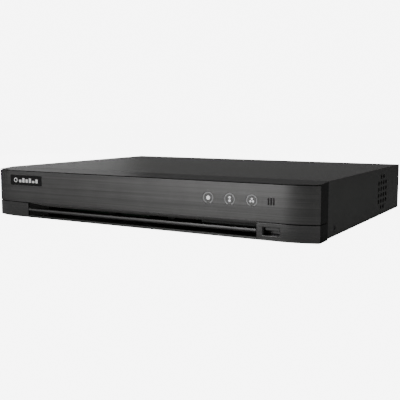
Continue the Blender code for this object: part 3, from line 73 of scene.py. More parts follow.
class FrontSettings(bpy.types.PropertyGroup):
    """Sizes and colours of the front."""

    plate_edge: bpy.props.FloatProperty(
        name="Plate edge", description="Rounding of the brushed plates' edges",
        default=0.18 * MM, min=0.0, unit="LENGTH")
    plate_gap: bpy.props.FloatProperty(
        name="Plate gap", description="Shadow gap between the upper plate and the moulding over it",
        default=0.45 * MM, min=0.0, unit="LENGTH")
    moulding_edge: bpy.props.FloatProperty(
        name="Moulding edge", description="Rounding of the moulded front's edges",
        default=0.4 * MM, min=0.0, unit="LENGTH")
    plate_colour: bpy.props.FloatVectorProperty(
        name="Plate colour", description="Upper brushed plate", default=(0.135, 0.134, 0.133),
        size=3, subtype="COLOR", min=0.0, max=1.0)
    trim_colour: bpy.props.FloatVectorProperty(
        name="Trim colour", description="Lower brushed trims", default=(0.150, 0.149, 0.148),
        size=3, subtype="COLOR", min=0.0, max=1.0)
    moulding_colour: bpy.props.FloatVectorProperty(
        name="Moulding colour", description="Moulded front", default=(0.007, 0.007, 0.0065),
        size=3, subtype="COLOR", min=0.0, max=1.0)
    badge_relief: bpy.props.FloatProperty(
        name="Badge relief", description="How far the badge's bars stand out",
        default=0.08 * MM, min=0.0, unit="LENGTH")


class CaseSettings(bpy.types.PropertyGroup):
    """Sizes and colours of the sheet steel case."""

    fold_radius: bpy.props.FloatProperty(
        name="Fold radius", description="Outer radius of the sheet's folds and edges",
        default=0.3 * MM, min=0.0, unit="LENGTH")
    steel_colour: bpy.props.FloatVectorProperty(
        name="Steel colour", description="Powder coated steel", default=(0.040, 0.040, 0.038),
        size=3, subtype="COLOR", min=0.0, max=1.0)
    foot_groove: bpy.props.FloatProperty(
        name="Foot groove", description="Depth of the grip rings under each foot",
        default=0.3 * MM, min=0.0, unit="LENGTH")


class RearSettings(bpy.types.PropertyGroup):
    """Sizes and colours of the rear sockets."""

    socket_edge: bpy.props.FloatProperty(
        name="Socket edge", description="Rounding of the sockets' shells", default=0.2 * MM, min=0.0,
        unit="LENGTH")
    audio_in_colour: bpy.props.FloatVectorProperty(
        name="Audio in", description="Ring of the sound input", default=(0.75, 0.04, 0.03), size=3,
        subtype="COLOR", min=0.0, max=1.0)
    audio_out_colour: bpy.props.FloatVectorProperty(
        name="Audio out", description="Ring of the sound output", default=(0.72, 0.72, 0.7), size=3,
        subtype="COLOR", min=0.0, max=1.0)


class StageSettings(bpy.types.PropertyGroup):
    """Camera, lights and floor."""

    azimuth: bpy.props.FloatProperty(
        name="Azimuth", description="Camera's turn to the right of straight ahead",
        default=radians(29.96), subtype="ANGLE", unit="ROTATION")
    elevation: bpy.props.FloatProperty(
        name="Elevation", description="Camera's height angle", default=radians(6.92), subtype="ANGLE",
        unit="ROTATION")
    distance: bpy.props.FloatProperty(
        name="Distance", description="Camera to what it looks at", default=646.8 * MM, min=0.1,
        unit="LENGTH")
    lens: bpy.props.FloatProperty(
        name="Lens", description="Focal length in millimetres on a 36 mm sensor", default=59.6, min=10.0)
    target: bpy.props.FloatVectorProperty(
        name="Target", description="Point that the camera looks at",
        default=(-5.2 * MM, -4.5 * MM, 11.5 * MM), size=3, subtype="TRANSLATION", unit="LENGTH")
    front_light: bpy.props.FloatProperty(
        name="Front light", description="Power of the large light at the front left, in watts",
        default=3.15, min=0.0)
    back_light: bpy.props.FloatProperty(
        name="Back light", description="Power of the light at the back left, in watts", default=1.1, min=0.0)
    top_light: bpy.props.FloatProperty(
        name="Top light", description="Power of the light overhead, in watts", default=1.0, min=0.0)
    right_light: bpy.props.FloatProperty(
        name="Right light", description="Power of the light at the right, in watts", default=2.3, min=0.0)
    floor_colour: bpy.props.FloatVectorProperty(
        name="Floor colour", description="Pale floor and backdrop", default=(0.9, 0.9, 0.9), size=3,
        subtype="COLOR", min=0.0, max=1.0)


# Modelling helpers


def start_clean():
    """Leaves nothing selected, in object mode."""
    if bpy.context.mode != "OBJECT":
        bpy.ops.object.mode_set(mode="OBJECT")
    bpy.ops.object.select_all(action="DESELECT")


def only(piece):
    start_clean()
    piece.select_set(True)
    bpy.context.view_layer.objects.active = piece
    return piece


def named(name):
    """Gives the primitive just added its name."""
    piece = bpy.context.active_object
    piece.name = name
    piece.data.name = name
    return piece


def freeze(piece):
    """Puts the piece's place, turn and scale into its mesh."""
    only(piece)
    bpy.ops.object.transform_apply(location=True, rotation=True, scale=True)
    return piece


def block(name, low, high):
    """A box between two corners, as the start of a piece."""
    low, high = Vector(low), Vector(high)
    start_clean()
    bpy.ops.mesh.primitive_cube_add(size=1, location=(low + high) / 2, scale=high - low)
    return freeze(named(name))


def in_mm(*pairs):
    return [(radius * MM, along * MM) for radius, along in pairs]


def block_about(name, point, low, high):
    """A box whose corners are given from a point, in millimetres."""
    point = Vector(point)
    return block(name, point + Vector(low) * MM, point + Vector(high) * MM)


def turned(name, start, way, profile, sides=40):
    """A piece turned from (radius, distance along) pairs: a disc extruded and scaled to each next pair."""
    start_clean()
    radius, along = profile[0]
    bpy.ops.mesh.primitive_circle_add(vertices=sides, radius=radius, fill_type="NGON")
    piece = named(name)
    bpy.ops.object.mode_set(mode="EDIT")
    bpy.ops.mesh.select_all(action="SELECT")
    bpy.ops.transform.translate(value=(0, 0, along))
    for next_radius, next_along in profile[1:]:
        bpy.ops.mesh.extrude_region_move(TRANSFORM_OT_translate={"value": (0, 0, next_along - along)})
        scale = next_radius / radius
        bpy.ops.transform.resize(value=(scale, scale, 1), center_override=(0, 0, next_along))
        radius, along = next_radius, next_along
    bpy.ops.mesh.select_all(action="SELECT")
    bpy.ops.mesh.normals_make_consistent(inside=False)
    bpy.ops.object.mode_set(mode="OBJECT")
    piece.rotation_mode = "QUATERNION"
    piece.rotation_quaternion = Z.rotation_difference(Vector(way))
    piece.location = start
    return freeze(piece)


def rod(name, start, end, radius, sides=24):
    """A plain round bar between two points."""
    start, end = Vector(start), Vector(end)
    return turned(name, start, end - start, [(radius, 0), (radius, (end - start).length)], sides)


def applied(piece, kind, **values):
    """Adds a modifier with these values and applies it."""
    only(piece)
    modifier = piece.modifiers.new(kind.title(), kind)
    for key, value in values.items():
        setattr(modifier, key, value)
    bpy.ops.object.modifier_apply(modifier=modifier.name)
    return piece


def soften(piece, width, segments=2, angle=35):
    """Rounds every edge sharper than the angle."""
    return applied(piece, "BEVEL", width=width, segments=segments, limit_method="ANGLE",
                   angle_limit=radians(angle), use_clamp_overlap=True, harden_normals=False)


def cut(piece, *cutters):
    for cutter in cutters:
        applied(piece, "BOOLEAN", operation="DIFFERENCE", object=cutter)
        bpy.data.objects.remove(cutter)
    return piece


def joined(*pieces):
    """Makes several bodies one piece, which keeps the first one's name."""
    start_clean()
    for piece in pieces:
        piece.select_set(True)
    bpy.context.view_layer.objects.active = pieces[0]
    bpy.ops.object.join()
    return bpy.context.active_object


def twin(piece, name, shift):
    """A moved copy with its own mesh."""
    only(piece)
    bpy.ops.object.duplicate(linked=False)
    copy = named(name)
    copy.data.transform(Matrix.Translation(Vector(shift)))
    return copy


def pick(kind, test):
    """In edit mode, selects just the faces, edges or points that pass the test."""
    mesh = bpy.context.edit_object.data
    bpy.ops.mesh.select_mode(type=kind)
    bpy.ops.mesh.select_all(action="DESELECT")
    shape = bmesh.from_edit_mesh(mesh)
    for element in {"FACE": shape.faces, "EDGE": shape.edges, "VERT": shape.verts}[kind]:
        if test(element):
            element.select_set(True)
    shape.select_flush_mode()
    bmesh.update_edit_mesh(mesh)


def refined(node, name, edge=0.0, segments=2, angle=40):
    """A copy of a CAD node's mesh, merged, cleaned of its loose triangles and softened along its edges."""
    start_clean()
    piece = bpy.data.objects.new(name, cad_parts[node].data.copy())
    piece.data.name = name
    piece.data.materials.clear()
    bpy.context.scene.collection.objects.link(piece)
    only(piece)
    bpy.ops.object.mode_set(mode="EDIT")
    bpy.ops.mesh.select_all(action="SELECT")
    bpy.ops.mesh.remove_doubles(threshold=MERGE)
    bpy.ops.mesh.customdata_custom_splitnormals_clear()
    bpy.ops.mesh.dissolve_limited(angle_limit=radians(1.0))
    bpy.ops.object.mode_set(mode="OBJECT")
    if edge:
        soften(piece, edge, segments, angle)
    return piece


def done(piece, finish_name, body=CASE, stands_for=(), smooth=35):
    """Shades the piece, paints it, and sets the body it rides on and the nodes it stands for."""
    only(piece)
    bpy.ops.object.shade_smooth_by_angle(angle=radians(smooth))
    applied(piece, "WEIGHTED_NORMAL", mode="FACE_AREA", weight=80, keep_sharp=True)
    piece.data.materials.clear()
    piece.data.materials.append(bpy.data.materials[finish_name])
    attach(piece, body)
    if stands_for:
        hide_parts(*stands_for)
    return piece


def stand_in(node, name, finish_name, edge=0.0, segments=2, angle=40, body=CASE):
    """A refined and finished copy of a CAD node, which it stands for."""
    return done(refined(node, name, edge, segments, angle), finish_name, body, [node])


def paint_some(piece, finish_name, test):
    """Gives the faces that pass the test a second finish."""
    piece.data.materials.append(bpy.data.materials[finish_name])
    for face in piece.data.polygons:
        if test(face):
            face.material_index = len(piece.data.materials) - 1


def inside_of(piece, centre, reach):
    """A test for faces that lie wholly nearer than the reach to a centre, seen from the front."""
    points = piece.data.vertices
    return lambda face: all((points[index].co.xz - centre.xz).length < reach for index in face.vertices)


def middle(node):
    low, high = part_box(node)
    return (low + high) / 2


# Shared effects

BRUSH_LINES = (14.0, 60.0, 3200.0)  # how often the scratches change along X, Y and Z
WIDE_LINES = 0.22  # the wider scratches beside the fine ones
WEAR_REACH = 0.35 * MM
DUST_COLOUR = (0.32, 0.31, 0.29)


def new_group(name, inputs, outputs):
    """An empty node group with (name, socket type, default) inputs."""
    group = bpy.data.node_groups.new(name, "ShaderNodeTree")
    for label, kind, default in inputs:
        socket = group.interface.new_socket(label, in_out="INPUT", socket_type=kind)
        if default is not None:
            socket.default_value = default
    for label, kind in outputs:
        group.interface.new_socket(label, in_out="OUTPUT", socket_type=kind)
    return group, group.nodes.new("NodeGroupInput"), group.nodes.new("NodeGroupOutput")


def add(tree, kind, links=(), **values):
    """A node with its properties set, sockets given by name or number, and links from other sockets."""
    node = tree.nodes.new(kind)
    sockets = values.pop("sockets", {})
    for key, value in values.items():
        setattr(node, key, value)
    for key, value in sockets.items():
        node.inputs[key].default_value = value
    for key, source in dict(links).items():
        tree.links.new(source, node.inputs[key])
    return node


def noise(tree, vector, scale, detail, roughness=0.5):
    """A noise whose scale is a number or another socket."""
    node = add(tree, "ShaderNodeTexNoise", {"Vector": vector},
               sockets={"Detail": detail, "Roughness": roughness})
    if isinstance(scale, float):
        node.inputs["Scale"].default_value = scale
    else:
        tree.links.new(scale, node.inputs["Scale"])
    return node.outputs[0]


def ranged(tree, value, from_low, from_high, to_low, to_high):
    """Maps a value from one range to another."""
    return add(tree, "ShaderNodeMapRange", {"Value": value}, sockets={
        "From Min": from_low, "From Max": from_high, "To Min": to_low, "To Max": to_high}).outputs[0]


def over(tree, mask, below, colour):
    """Lays a plain colour over another where the mask says."""
    mix = add(tree, "ShaderNodeMix", {0: mask, 6: below}, data_type="RGBA", sockets={7: (*colour, 1)})
    return mix.outputs[2]


def mathed(tree, operation, first, second, clamp=False):
    node = tree.nodes.new("ShaderNodeMath")
    node.operation = operation
    node.use_clamp = clamp
    for socket, value in zip(node.inputs, (first, second)):
        if isinstance(value, (int, float)):
            socket.default_value = value
        else:
            tree.links.new(value, socket)
    return node.outputs[0]


def make_grain():
    """Fine bumps of moulded plastic or powder coat, with a slower unevenness."""
    group, given, result = new_group(
        "Fine Grain",
        [("Vector", "NodeSocketVector", None), ("Scale", "NodeSocketFloat", 2500.0)],
        [("Height", "NodeSocketFloat"), ("Tone", "NodeSocketFloat")])
    vector, scale = given.outputs["Vector"], given.outputs["Scale"]
    group.links.new(noise(group, vector, scale, 3.0, 0.6), result.inputs["Height"])
    slow_scale = mathed(group, "MULTIPLY", scale, 0.02)
    group.links.new(noise(group, vector, slow_scale, 4.0, 0.55), result.inputs["Tone"])


def make_brush():
    """Long fine scratches that run along X."""
    group, given, result = new_group(
        "Brush Lines", [("Vector", "NodeSocketVector", None)],
        [("Height", "NodeSocketFloat"), ("Tone", "NodeSocketFloat")])
    along = add(group, "ShaderNodeVectorMath", {0: given.outputs["Vector"]}, operation="MULTIPLY",
                sockets={1: BRUSH_LINES})
    fine = noise(group, along.outputs[0], 1.0, 2.0, 0.7)
    wide = noise(group, along.outputs[0], WIDE_LINES, 3.0, 0.65)
    group.links.new(fine, result.inputs["Height"])
    group.links.new(mathed(group, "MULTIPLY", fine, wide), result.inputs["Tone"])


def make_mask(name, amount, find, pattern):
    """A mask: the places that find gives, broken up by a noise with this scale, detail and roughness."""
    group, given, result = new_group(
        name, [("Vector", "NodeSocketVector", None), ("Amount", "NodeSocketFloat", amount)],
        [("Mask", "NodeSocketFloat")])
    broken = mathed(group, "MULTIPLY", find(group), noise(group, given.outputs["Vector"], *pattern))
    mask = mathed(group, "MULTIPLY", broken, given.outputs["Amount"], clamp=True)
    group.links.new(mask, result.inputs["Mask"])


def rubbed_edges(group):
    """Edges: a rounded normal leaves the true one there."""
    rounded = add(group, "ShaderNodeBevel", sockets={"Radius": WEAR_REACH}, samples=4)
    shape = group.nodes.new("ShaderNodeNewGeometry")
    same = add(group, "ShaderNodeVectorMath", {0: rounded.outputs[0], 1: shape.outputs["Normal"]},
               operation="DOT_PRODUCT")
    return ranged(group, same.outputs["Value"], 0.99, 0.86, 0.0, 1.0)


def faces_up(group):
    shape = group.nodes.new("ShaderNodeNewGeometry")
    parts = add(group, "ShaderNodeSeparateXYZ", {0: shape.outputs["Normal"]})
    return ranged(group, parts.outputs["Z"], 0.5, 1.0, 0.0, 1.0)


def grouped(tree, name, vector, **values):
    """Places a shared effect, with its other inputs given by name."""
    node = tree.nodes.new("ShaderNodeGroup")
    node.node_tree = bpy.data.node_groups[name]
    tree.links.new(vector, node.inputs["Vector"])
    for key, value in values.items():
        node.inputs[key.title()].default_value = value
    return node


# Finishes

FINISHES = (  # name, colour, metallic, roughness, tone, height of the grain in millimetres, other values
    ("Satin bar", (0.19, 0.19, 0.19), 1.0, 0.36, 0.05, 0.003, {"brush": 0.1}),
    ("Satin lip", (0.10, 0.10, 0.10), 1.0, 0.36, 0.05, 0.003, {"brush": 0.1}),
    # Intake painted light: pale grey on the black moulding's sloped faces in the air intake, painted light
    # standing in for light falling on them
    ("Intake painted light", (0.30, 0.30, 0.295), 0.0, 0.5, 0.08, 0.01, {}),
    # Shell painted shade: the front socket's tin darkened, painted shade standing in for the shade inside its
    # mouth
    ("Shell painted shade", (0.30, 0.30, 0.305), 1.0, 0.3, 0.08, 0.003, {}),
    ("Badge face", (0.004, 0.004, 0.004), 0.0, 0.38, 0.1, 0.0, {"specular": 0.3}),
    # Badge print, Light guide and Light symbol carry a painted glow: emission that brightens them though they
    # are no lamps
    ("Badge print", (0.86, 0.86, 0.85), 0.0, 0.45, 0.05, 0.0, {"painted_glow": 0.25}),
    ("Light guide", (0.5, 0.505, 0.51), 0.0, 0.35, 0.05, 0.0, {"painted_glow": 0.04}),
    ("Light symbol", (0.86, 0.87, 0.88), 0.0, 0.35, 0.03, 0.0, {"painted_glow": 0.9}),
    # Tongue painted light: the front socket's tongue, black plastic lightened to grey, painted light standing
    # in for light on it
    ("Tongue painted light", (0.11, 0.11, 0.11), 0.0, 0.4, 0.1, 0.006, {}),
    ("Infrared window", (0.008, 0.004, 0.006), 0.0, 0.12, 0.12, 0.0, {"coat": 0.4}),
    ("Black screw", (0.025, 0.025, 0.026), 0.9, 0.34, 0.15, 0.0,
     {"wear": 1.0, "wear_colour": (0.35, 0.35, 0.34)}),
    ("Foot rubber", (0.016, 0.016, 0.016), 0.0, 0.85, 0.2, 0.03, {"grain_scale": 900.0, "dust": 0.25}),
    ("Nickel", (0.62, 0.61, 0.58), 1.0, 0.2, 0.06, 0.003, {"wear": 0.2}),
    ("Tinned shell", (0.58, 0.585, 0.59), 1.0, 0.3, 0.08, 0.0, {"brush": 0.08}),
    ("Gold contact", (0.83, 0.60, 0.22), 1.0, 0.22, 0.08, 0.0, {}),
    ("Socket black", (0.018, 0.018, 0.018), 0.0, 0.5, 0.15, 0.01, {"grain_scale": 2000.0}),
    ("Socket white", (0.7, 0.69, 0.66), 0.0, 0.42, 0.05, 0.006, {}),
    ("Socket blue", (0.015, 0.06, 0.33), 0.0, 0.45, 0.08, 0.006, {}),
    ("Terminal green", (0.02, 0.26, 0.12), 0.0, 0.42, 0.1, 0.008, {}),
    ("Lever orange", (0.82, 0.28, 0.03), 0.0, 0.42, 0.08, 0.008, {}),
    ("Link lamp green", (0.12, 0.5, 0.16), 0.0, 0.25, 0.05, 0.0, {"coat": 0.3}),
    ("Link lamp amber", (0.75, 0.36, 0.05), 0.0, 0.25, 0.05, 0.0, {"coat": 0.3}),
    ("Switch print", (0.8, 0.8, 0.79), 0.0, 0.5, 0.05, 0.0, {}),
    # Board painted shade: near-black solder resist on the front board, painted shade standing in for the dim
    # inside seen through the intake
    ("Board painted shade", (0.006, 0.011, 0.009), 0.0, 0.5, 0.15, 0.0, {}),
    ("Cooler", (0.05, 0.05, 0.055), 0.9, 0.42, 0.1, 0.01, {"wear": 0.4, "wear_colour": (0.4, 0.4, 0.41)}),
    ("Cell steel", (0.6, 0.6, 0.58), 1.0, 0.26, 0.08, 0.0, {"brush": 0.05}),
    ("Drive casting", (0.42, 0.42, 0.43), 0.85, 0.5, 0.12, 0.03, {"grain_scale": 900.0, "wear": 0.2}),
    ("Drive steel", (0.56, 0.57, 0.59), 1.0, 0.3, 0.06, 0.0, {"brush": 0.1}),
    ("Platter", (0.75, 0.76, 0.78), 1.0, 0.06, 0.02, 0.0, {}),
    ("Chip resin", (0.02, 0.02, 0.021), 0.0, 0.55, 0.15, 0.01, {"grain_scale": 1800.0}),
    ("Capacitor sleeve", (0.02, 0.03, 0.10), 0.0, 0.35, 0.06, 0.0, {}),
    ("Bare aluminium", (0.7, 0.7, 0.71), 1.0, 0.34, 0.06, 0.0, {}),
    ("Fan plastic", (0.02, 0.02, 0.021), 0.0, 0.4, 0.12, 0.008, {}),
    ("Lead grey", (0.4, 0.4, 0.4), 0.0, 0.5, 0.08, 0.01, {}),
    ("Lead red", (0.5, 0.03, 0.02), 0.0, 0.45, 0.08, 0.01, {}),
    ("Lead black", (0.02, 0.02, 0.02), 0.0, 0.45, 0.1, 0.01, {}),
    ("Plug white", (0.72, 0.71, 0.67), 0.0, 0.45, 0.06, 0.008, {}),
)


def finish(name, colour, metallic=0.0, roughness=0.5, grain=0.0, grain_scale=2500.0, tone=0.12, brush=0.0,
           wear=0.0, wear_colour=None, dust=0.0, anisotropic=0.0, coat=0.0, painted_glow=0.0, specular=0.5):
    """A Principled surface from the shared effects, with the height of its grain in millimetres.

    Returns its tree, its shader and the socket of Object coordinates.
    """
    material = bpy.data.materials.new(name)
    material.use_nodes = True
    tree = material.node_tree
    shader = tree.nodes["Principled BSDF"]
    place = tree.nodes.new("ShaderNodeTexCoord").outputs["Object"]
    for socket, value in (("Metallic", metallic), ("Anisotropic", anisotropic), ("Coat Weight", coat),
                          ("Specular IOR Level", specular)):
        shader.inputs[socket].default_value = value
    # Painted glow: emission that brightens a part that is no lamp
    if painted_glow:
        shader.inputs["Emission Color"].default_value = (*colour, 1)
        shader.inputs["Emission Strength"].default_value = painted_glow
    fine = grouped(tree, "Fine Grain", place, scale=grain_scale)
    shade = ranged(tree, fine.outputs["Tone"], 0.3, 0.7, 1.0 - tone, 1.0 + tone)
    height = fine.outputs["Height"]
    if brush:
        lines = grouped(tree, "Brush Lines", place)
        streak = ranged(tree, lines.outputs["Tone"], 0.1, 0.42, 1.0 - brush, 1.0 + brush)
        shade = mathed(tree, "MULTIPLY", shade, streak)
        height = lines.outputs["Height"]
    toned = add(tree, "ShaderNodeVectorMath", {"Scale": shade}, operation="SCALE", sockets={0: colour})
    paint = toned.outputs[0]
    if wear:
        mask = grouped(tree, "Edge Wear", place, amount=wear).outputs["Mask"]
        paint = over(tree, mask, paint, wear_colour or [min(1.0, part * 2.5 + 0.05) for part in colour])
    if dust:
        mask = grouped(tree, "Settled Dust", place, amount=dust).outputs["Mask"]
        paint = over(tree, mask, paint, DUST_COLOUR)
    tree.links.new(paint, shader.inputs["Base Color"])
    uneven = ranged(tree, height, 0.3, 0.7, max(0.02, roughness - 0.06), min(1.0, roughness + 0.06))
    tree.links.new(uneven, shader.inputs["Roughness"])
    if grain or brush:
        bump = add(tree, "ShaderNodeBump", {"Height": height},
                   sockets={"Strength": 1.0, "Distance": (grain or 0.006) * MM})
        tree.links.new(bump.outputs[0], shader.inputs["Normal"])
    return tree, shader, place


def make_set_finishes(front, case, rear):
    """The finishes whose colours are settings."""
    finish("Brushed plate", tuple(front.plate_colour), metallic=1.0, roughness=0.36, brush=0.22, grain=0.004,
           tone=0.05, anisotropic=0.35, wear=0.25, wear_colour=(0.3, 0.3, 0.3))
    finish("Brushed trim", tuple(front.trim_colour), metallic=1.0, roughness=0.24, brush=0.18, grain=0.003,
           tone=0.05, anisotropic=0.35, wear=0.2, wear_colour=(0.25, 0.25, 0.25))
    finish("Front moulding", tuple(front.moulding_colour), roughness=0.42, grain=0.012, grain_scale=2600.0,
           tone=0.15, wear=0.15, dust=0.02, specular=0.1)
    finish("Powder coat", tuple(case.steel_colour), roughness=0.5, grain=0.02, grain_scale=1500.0, tone=0.08,
           wear=0.35, wear_colour=(0.12, 0.12, 0.115), dust=0.05)
    finish("Audio in ring", tuple(rear.audio_in_colour), roughness=0.4, grain=0.006, tone=0.08)
    finish("Audio out ring", tuple(rear.audio_out_colour), roughness=0.4, grain=0.006, tone=0.05)


def make_board_finish():
    """Solder resist over copper tracks, with pads that show between them."""
    tree, shader, place = finish("Board", (0.02, 0.12, 0.06), roughness=0.32, coat=0.25, tone=0.15)
    tracks = add(tree, "ShaderNodeTexBrick", {"Vector": place}, offset=0.37, squash=0.6,
                 sockets={"Scale": 170.0, "Mortar Size": 0.03, "Color1": (0.008, 0.050, 0.026, 1),
                          "Color2": (0.011, 0.066, 0.034, 1), "Mortar": (0.028, 0.12, 0.06, 1)})
    cells = add(tree, "ShaderNodeTexVoronoi", {"Vector": place}, sockets={"Scale": 330.0, "Randomness": 0.8})
    pads = ranged(tree, cells.outputs["Distance"], 0.10, 0.14, 1.0, 0.0)
    paint = over(tree, pads, tracks.outputs["Color"], (0.42, 0.40, 0.33))
    tree.links.new(paint, shader.inputs["Base Color"])
    tree.links.new(pads, shader.inputs["Metallic"])


class RECORDER_OT_finishes(bpy.types.Operator):
    """Make the shared effects and every finish"""

    bl_idname = "recorder.finishes"
    bl_label = "Finishes"

    def execute(self, context):
        make_grain()
        make_brush()
        make_mask("Edge Wear", 0.3, rubbed_edges, (260.0, 4.0))
        make_mask("Settled Dust", 0.1, faces_up, (90.0, 6.0, 0.75))
        scene = context.scene
        make_set_finishes(scene.recorder_front, scene.recorder_case, scene.recorder_rear)
        for name, colour, metallic, roughness, tone, grain, others in FINISHES:
            finish(name, colour, metallic=metallic, roughness=roughness, tone=tone, grain=grain, **others)
        make_board_finish()
        return {"FINISHED"}


# Front

LIP_TALL = 2.1 * MM
SYMBOL_REACH = 3 * MM  # the symbols lie nearer than this to a ring's centre, and the rings further
BADGE_BARS = (0.6, 1.0, 0.75, 1.0, 0.5, 0.85)  # heights, as shares of the tallest


def trim_top(piece, gap):
    """Lowers the piece's top edge by a gap and closes it again."""
    top = max(point.co.z for point in piece.data.vertices)
    only(piece)
    bpy.ops.object.mode_set(mode="EDIT")
    bpy.ops.mesh.select_all(action="SELECT")
    bpy.ops.mesh.bisect(plane_co=(0, 0, top - gap), plane_no=(0, 0, 1), clear_outer=True, use_fill=True)
    bpy.ops.object.mode_set(mode="OBJECT")


class RECORDER_OT_plates(bpy.types.Operator):
    """Brushed upper plate and lower trims"""

    bl_idname = "recorder.plates"
    bl_label = "Front plates"

    def execute(self, context):
        settings = context.scene.recorder_front
        for node, finish_name, slot in (("front_fascia", "Brushed plate", "brushed_plate"),
                                        ("lower_trim_right", "Brushed trim", "trim_dark"),
                                        ("lower_trim_left", "Brushed trim", "trim_dark")):
            piece = refined(node, node + "_plate")
            if node == "front_fascia":
                trim_top(piece, settings.plate_gap)
            soften(piece, settings.plate_edge, angle=50)
            done(piece, finish_name, stands_for=[node], smooth=30)
        return {"FINISHED"}


class RECORDER_OT_moulding(bpy.types.Operator):
    """Moulded front behind the plates, and the bar across its air intake"""

    bl_idname = "recorder.moulding"
    bl_label = "Front moulding"

    def execute(self, context):
        settings = context.scene.recorder_front
        moulding = stand_in("front_bezel", "front_moulding", "Front moulding",
                            settings.moulding_edge, 2, 50)
        lip_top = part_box("front_bezel")[0].z + LIP_TALL
        low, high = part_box("grille_rib")
        paint_some(moulding, "Satin lip", lambda face: face.normal.y < -0.3 and face.center.z < lip_top)
        # Painted light: the intake's sloped faces get a pale grey that stands in for the light falling into
        # it
        paint_some(moulding, "Intake painted light", lambda face: (
            face.normal.z < -0.3 and face.normal.y < -0.1 and low.x < face.center.x < high.x
            and face.center.z > lip_top))
        stand_in("grille_rib", "intake_bar", "Satin bar", settings.plate_edge)
        return {"FINISHED"}


class RECORDER_OT_badge(bpy.types.Operator):
    """Blank badge with a plain round mark and level bars"""

    bl_idname = "recorder.badge"
    bl_label = "Badge"

    def execute(self, context):
        settings = context.scene.recorder_front
        low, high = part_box("name_badge")
        wide, tall = high.x - low.x, high.z - low.z
        relief = settings.badge_relief
        low += Y * relief
        plate = soften(block("badge_plate", low, high), 0.12 * MM, 2)
        done(plate, "Badge face", stands_for=["name_badge"])
        face = Vector((low.x + 0.17 * wide, low.y, (low.z + high.z) / 2))
        outer, inner = 0.235 * tall, 0.15 * tall
        marks = [turned("badge_mark", face + Y * SINK, -Y, [
            (outer, 0), (outer, relief + SINK), (inner, relief + SINK), (inner, SINK / 2)], 32)]
        bar_wide, pitch, foot = 0.07 * wide, 0.105 * wide, 0.22 * tall
        for number, share in enumerate(BADGE_BARS):
            left = face.x + 0.11 * wide + number * pitch
            marks.append(block("bar", (left, face.y - relief, face.z - foot),
                               (left + bar_wide, face.y + SINK, face.z + (2 * share - 1) * foot)))
        # The badge's print carries a painted glow.
        done(joined(*marks), "Badge print")
        return {"FINISHED"}


class RECORDER_OT_lights(bpy.types.Operator):
    """Ring lights and the infrared window"""

    bl_idname = "recorder.lights"
    bl_label = "Lights"

    def execute(self, context):
        for number in (1, 2, 3):
            node = f"light_guide_{number}"
            # The rings and their symbols carry a painted glow that brightens them.
            ring = stand_in(node, f"ring_light_{number}", "Light guide")
            paint_some(ring, "Light symbol", inside_of(ring, middle(node), SYMBOL_REACH))
        stand_in("ir_window", "infrared_window", "Infrared window", 0.08 * MM)
        return {"FINISHED"}


class RECORDER_OT_front_usb(bpy.types.Operator):
    """Front socket's shell, tongue and contacts"""

    bl_idname = "recorder.front_usb"
    bl_label = "Front socket"

    def execute(self, context):
        # Painted shade: the front socket's shell is darkened so its mouth reads as shaded
        stand_in("front_usb_shell", "front_socket_shell", "Shell painted shade", 0.15 * MM)
        # Painted light: the tongue's black plastic is lightened to grey to read as lit
        stand_in("front_usb_tongue", "front_socket_tongue", "Tongue painted light", 0.15 * MM)
        low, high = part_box("front_usb_tongue")
        blade = middle("front_usb_shell").z + 0.6 * MM
        contact_row("front_socket_contacts", (low.x + high.x) / 2, low.y + 0.8 * MM, blade, *DATA_CONTACTS)
        return {"FINISHED"}


# Case

HEAD_DEEP = 0.8 * MM  # a countersunk head is as deep as the cover's sheet
HEAD_FLARE = 1.3 * MM  # how much wider its rim is than its neck
RECESS_LONG, RECESS_WIDE = 0.5, 0.1  # half of each arm, as shares of the head's radius
RECESS_DEEP = (0.60, 0.56)  # the two arms' depths, as shares of the head's
GRIP_RINGS = (0.8, 0.55, 0.3)  # outer radii, as shares of the foot's
GRIP_WIDE = 0.08
ROUND_SIDES = 48


class RECORDER_OT_case(bpy.types.Operator):
    """Steel tray and cover"""

    bl_idname = "recorder.case"
    bl_label = "Case"

    def execute(self, context):
        fold = context.scene.recorder_case.fold_radius
        stand_in("top_cover", "cover_sheet", "Powder coat", fold, 3, 60)
        stand_in("chassis_tray", "tray_sheet", "Powder coat", fold / 2, 2, 60)
        return {"FINISHED"}


def case_screw(node, way, finish_name):
    """A screw with a cross recess, as wide and as long as its CAD node, countersunk or with a pan head."""
    way = Vector(way)
    low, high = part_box(node)
    centre, size = (low + high) / 2, high - low
    length = abs(size.dot(way))
    radius = size.z / 2
    start = centre - way * length / 2
    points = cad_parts[node].data.vertices
    shank = max(abs(point.co.z - centre.z) for point in points if (point.co - start).dot(way) < 0.5 * MM)
    rim = min((point.co - start).dot(way) for point in points if abs(point.co.z - centre.z) > 0.9 * radius)
    profile = [(shank * 0.7, 0), (shank, 0.6 * MM)]
    if length - rim < 0.1 * MM:
        tall = HEAD_DEEP
        under = length - tall
        profile += [(shank, under), (radius - HEAD_FLARE, under), (radius * 0.96, length - 0.1 * MM),
                    (radius * 0.9, length - 0.03 * MM), (radius * 0.6, length)]
    else:
        tall = length - rim
        profile += [(shank, rim), (radius, rim), (radius, rim + tall * 0.4),
                    (radius * 0.93, rim + tall * 0.72), (radius * 0.74, rim + tall * 0.93),
                    (radius * 0.5, length)]
    piece = turned(node + "_head", start, way, profile, 36)
    side = way.cross(Z)
    for arm, across, depth in zip((Z, side), (side, Z), RECESS_DEEP):
        reach = arm * radius * RECESS_LONG + across * radius * RECESS_WIDE + way * tall * depth
        half = Vector([abs(value) for value in reach])
        cut(piece, block("recess", start + way * length - half, start + way * length + half))
    return done(piece, finish_name, stands_for=[node], smooth=40)


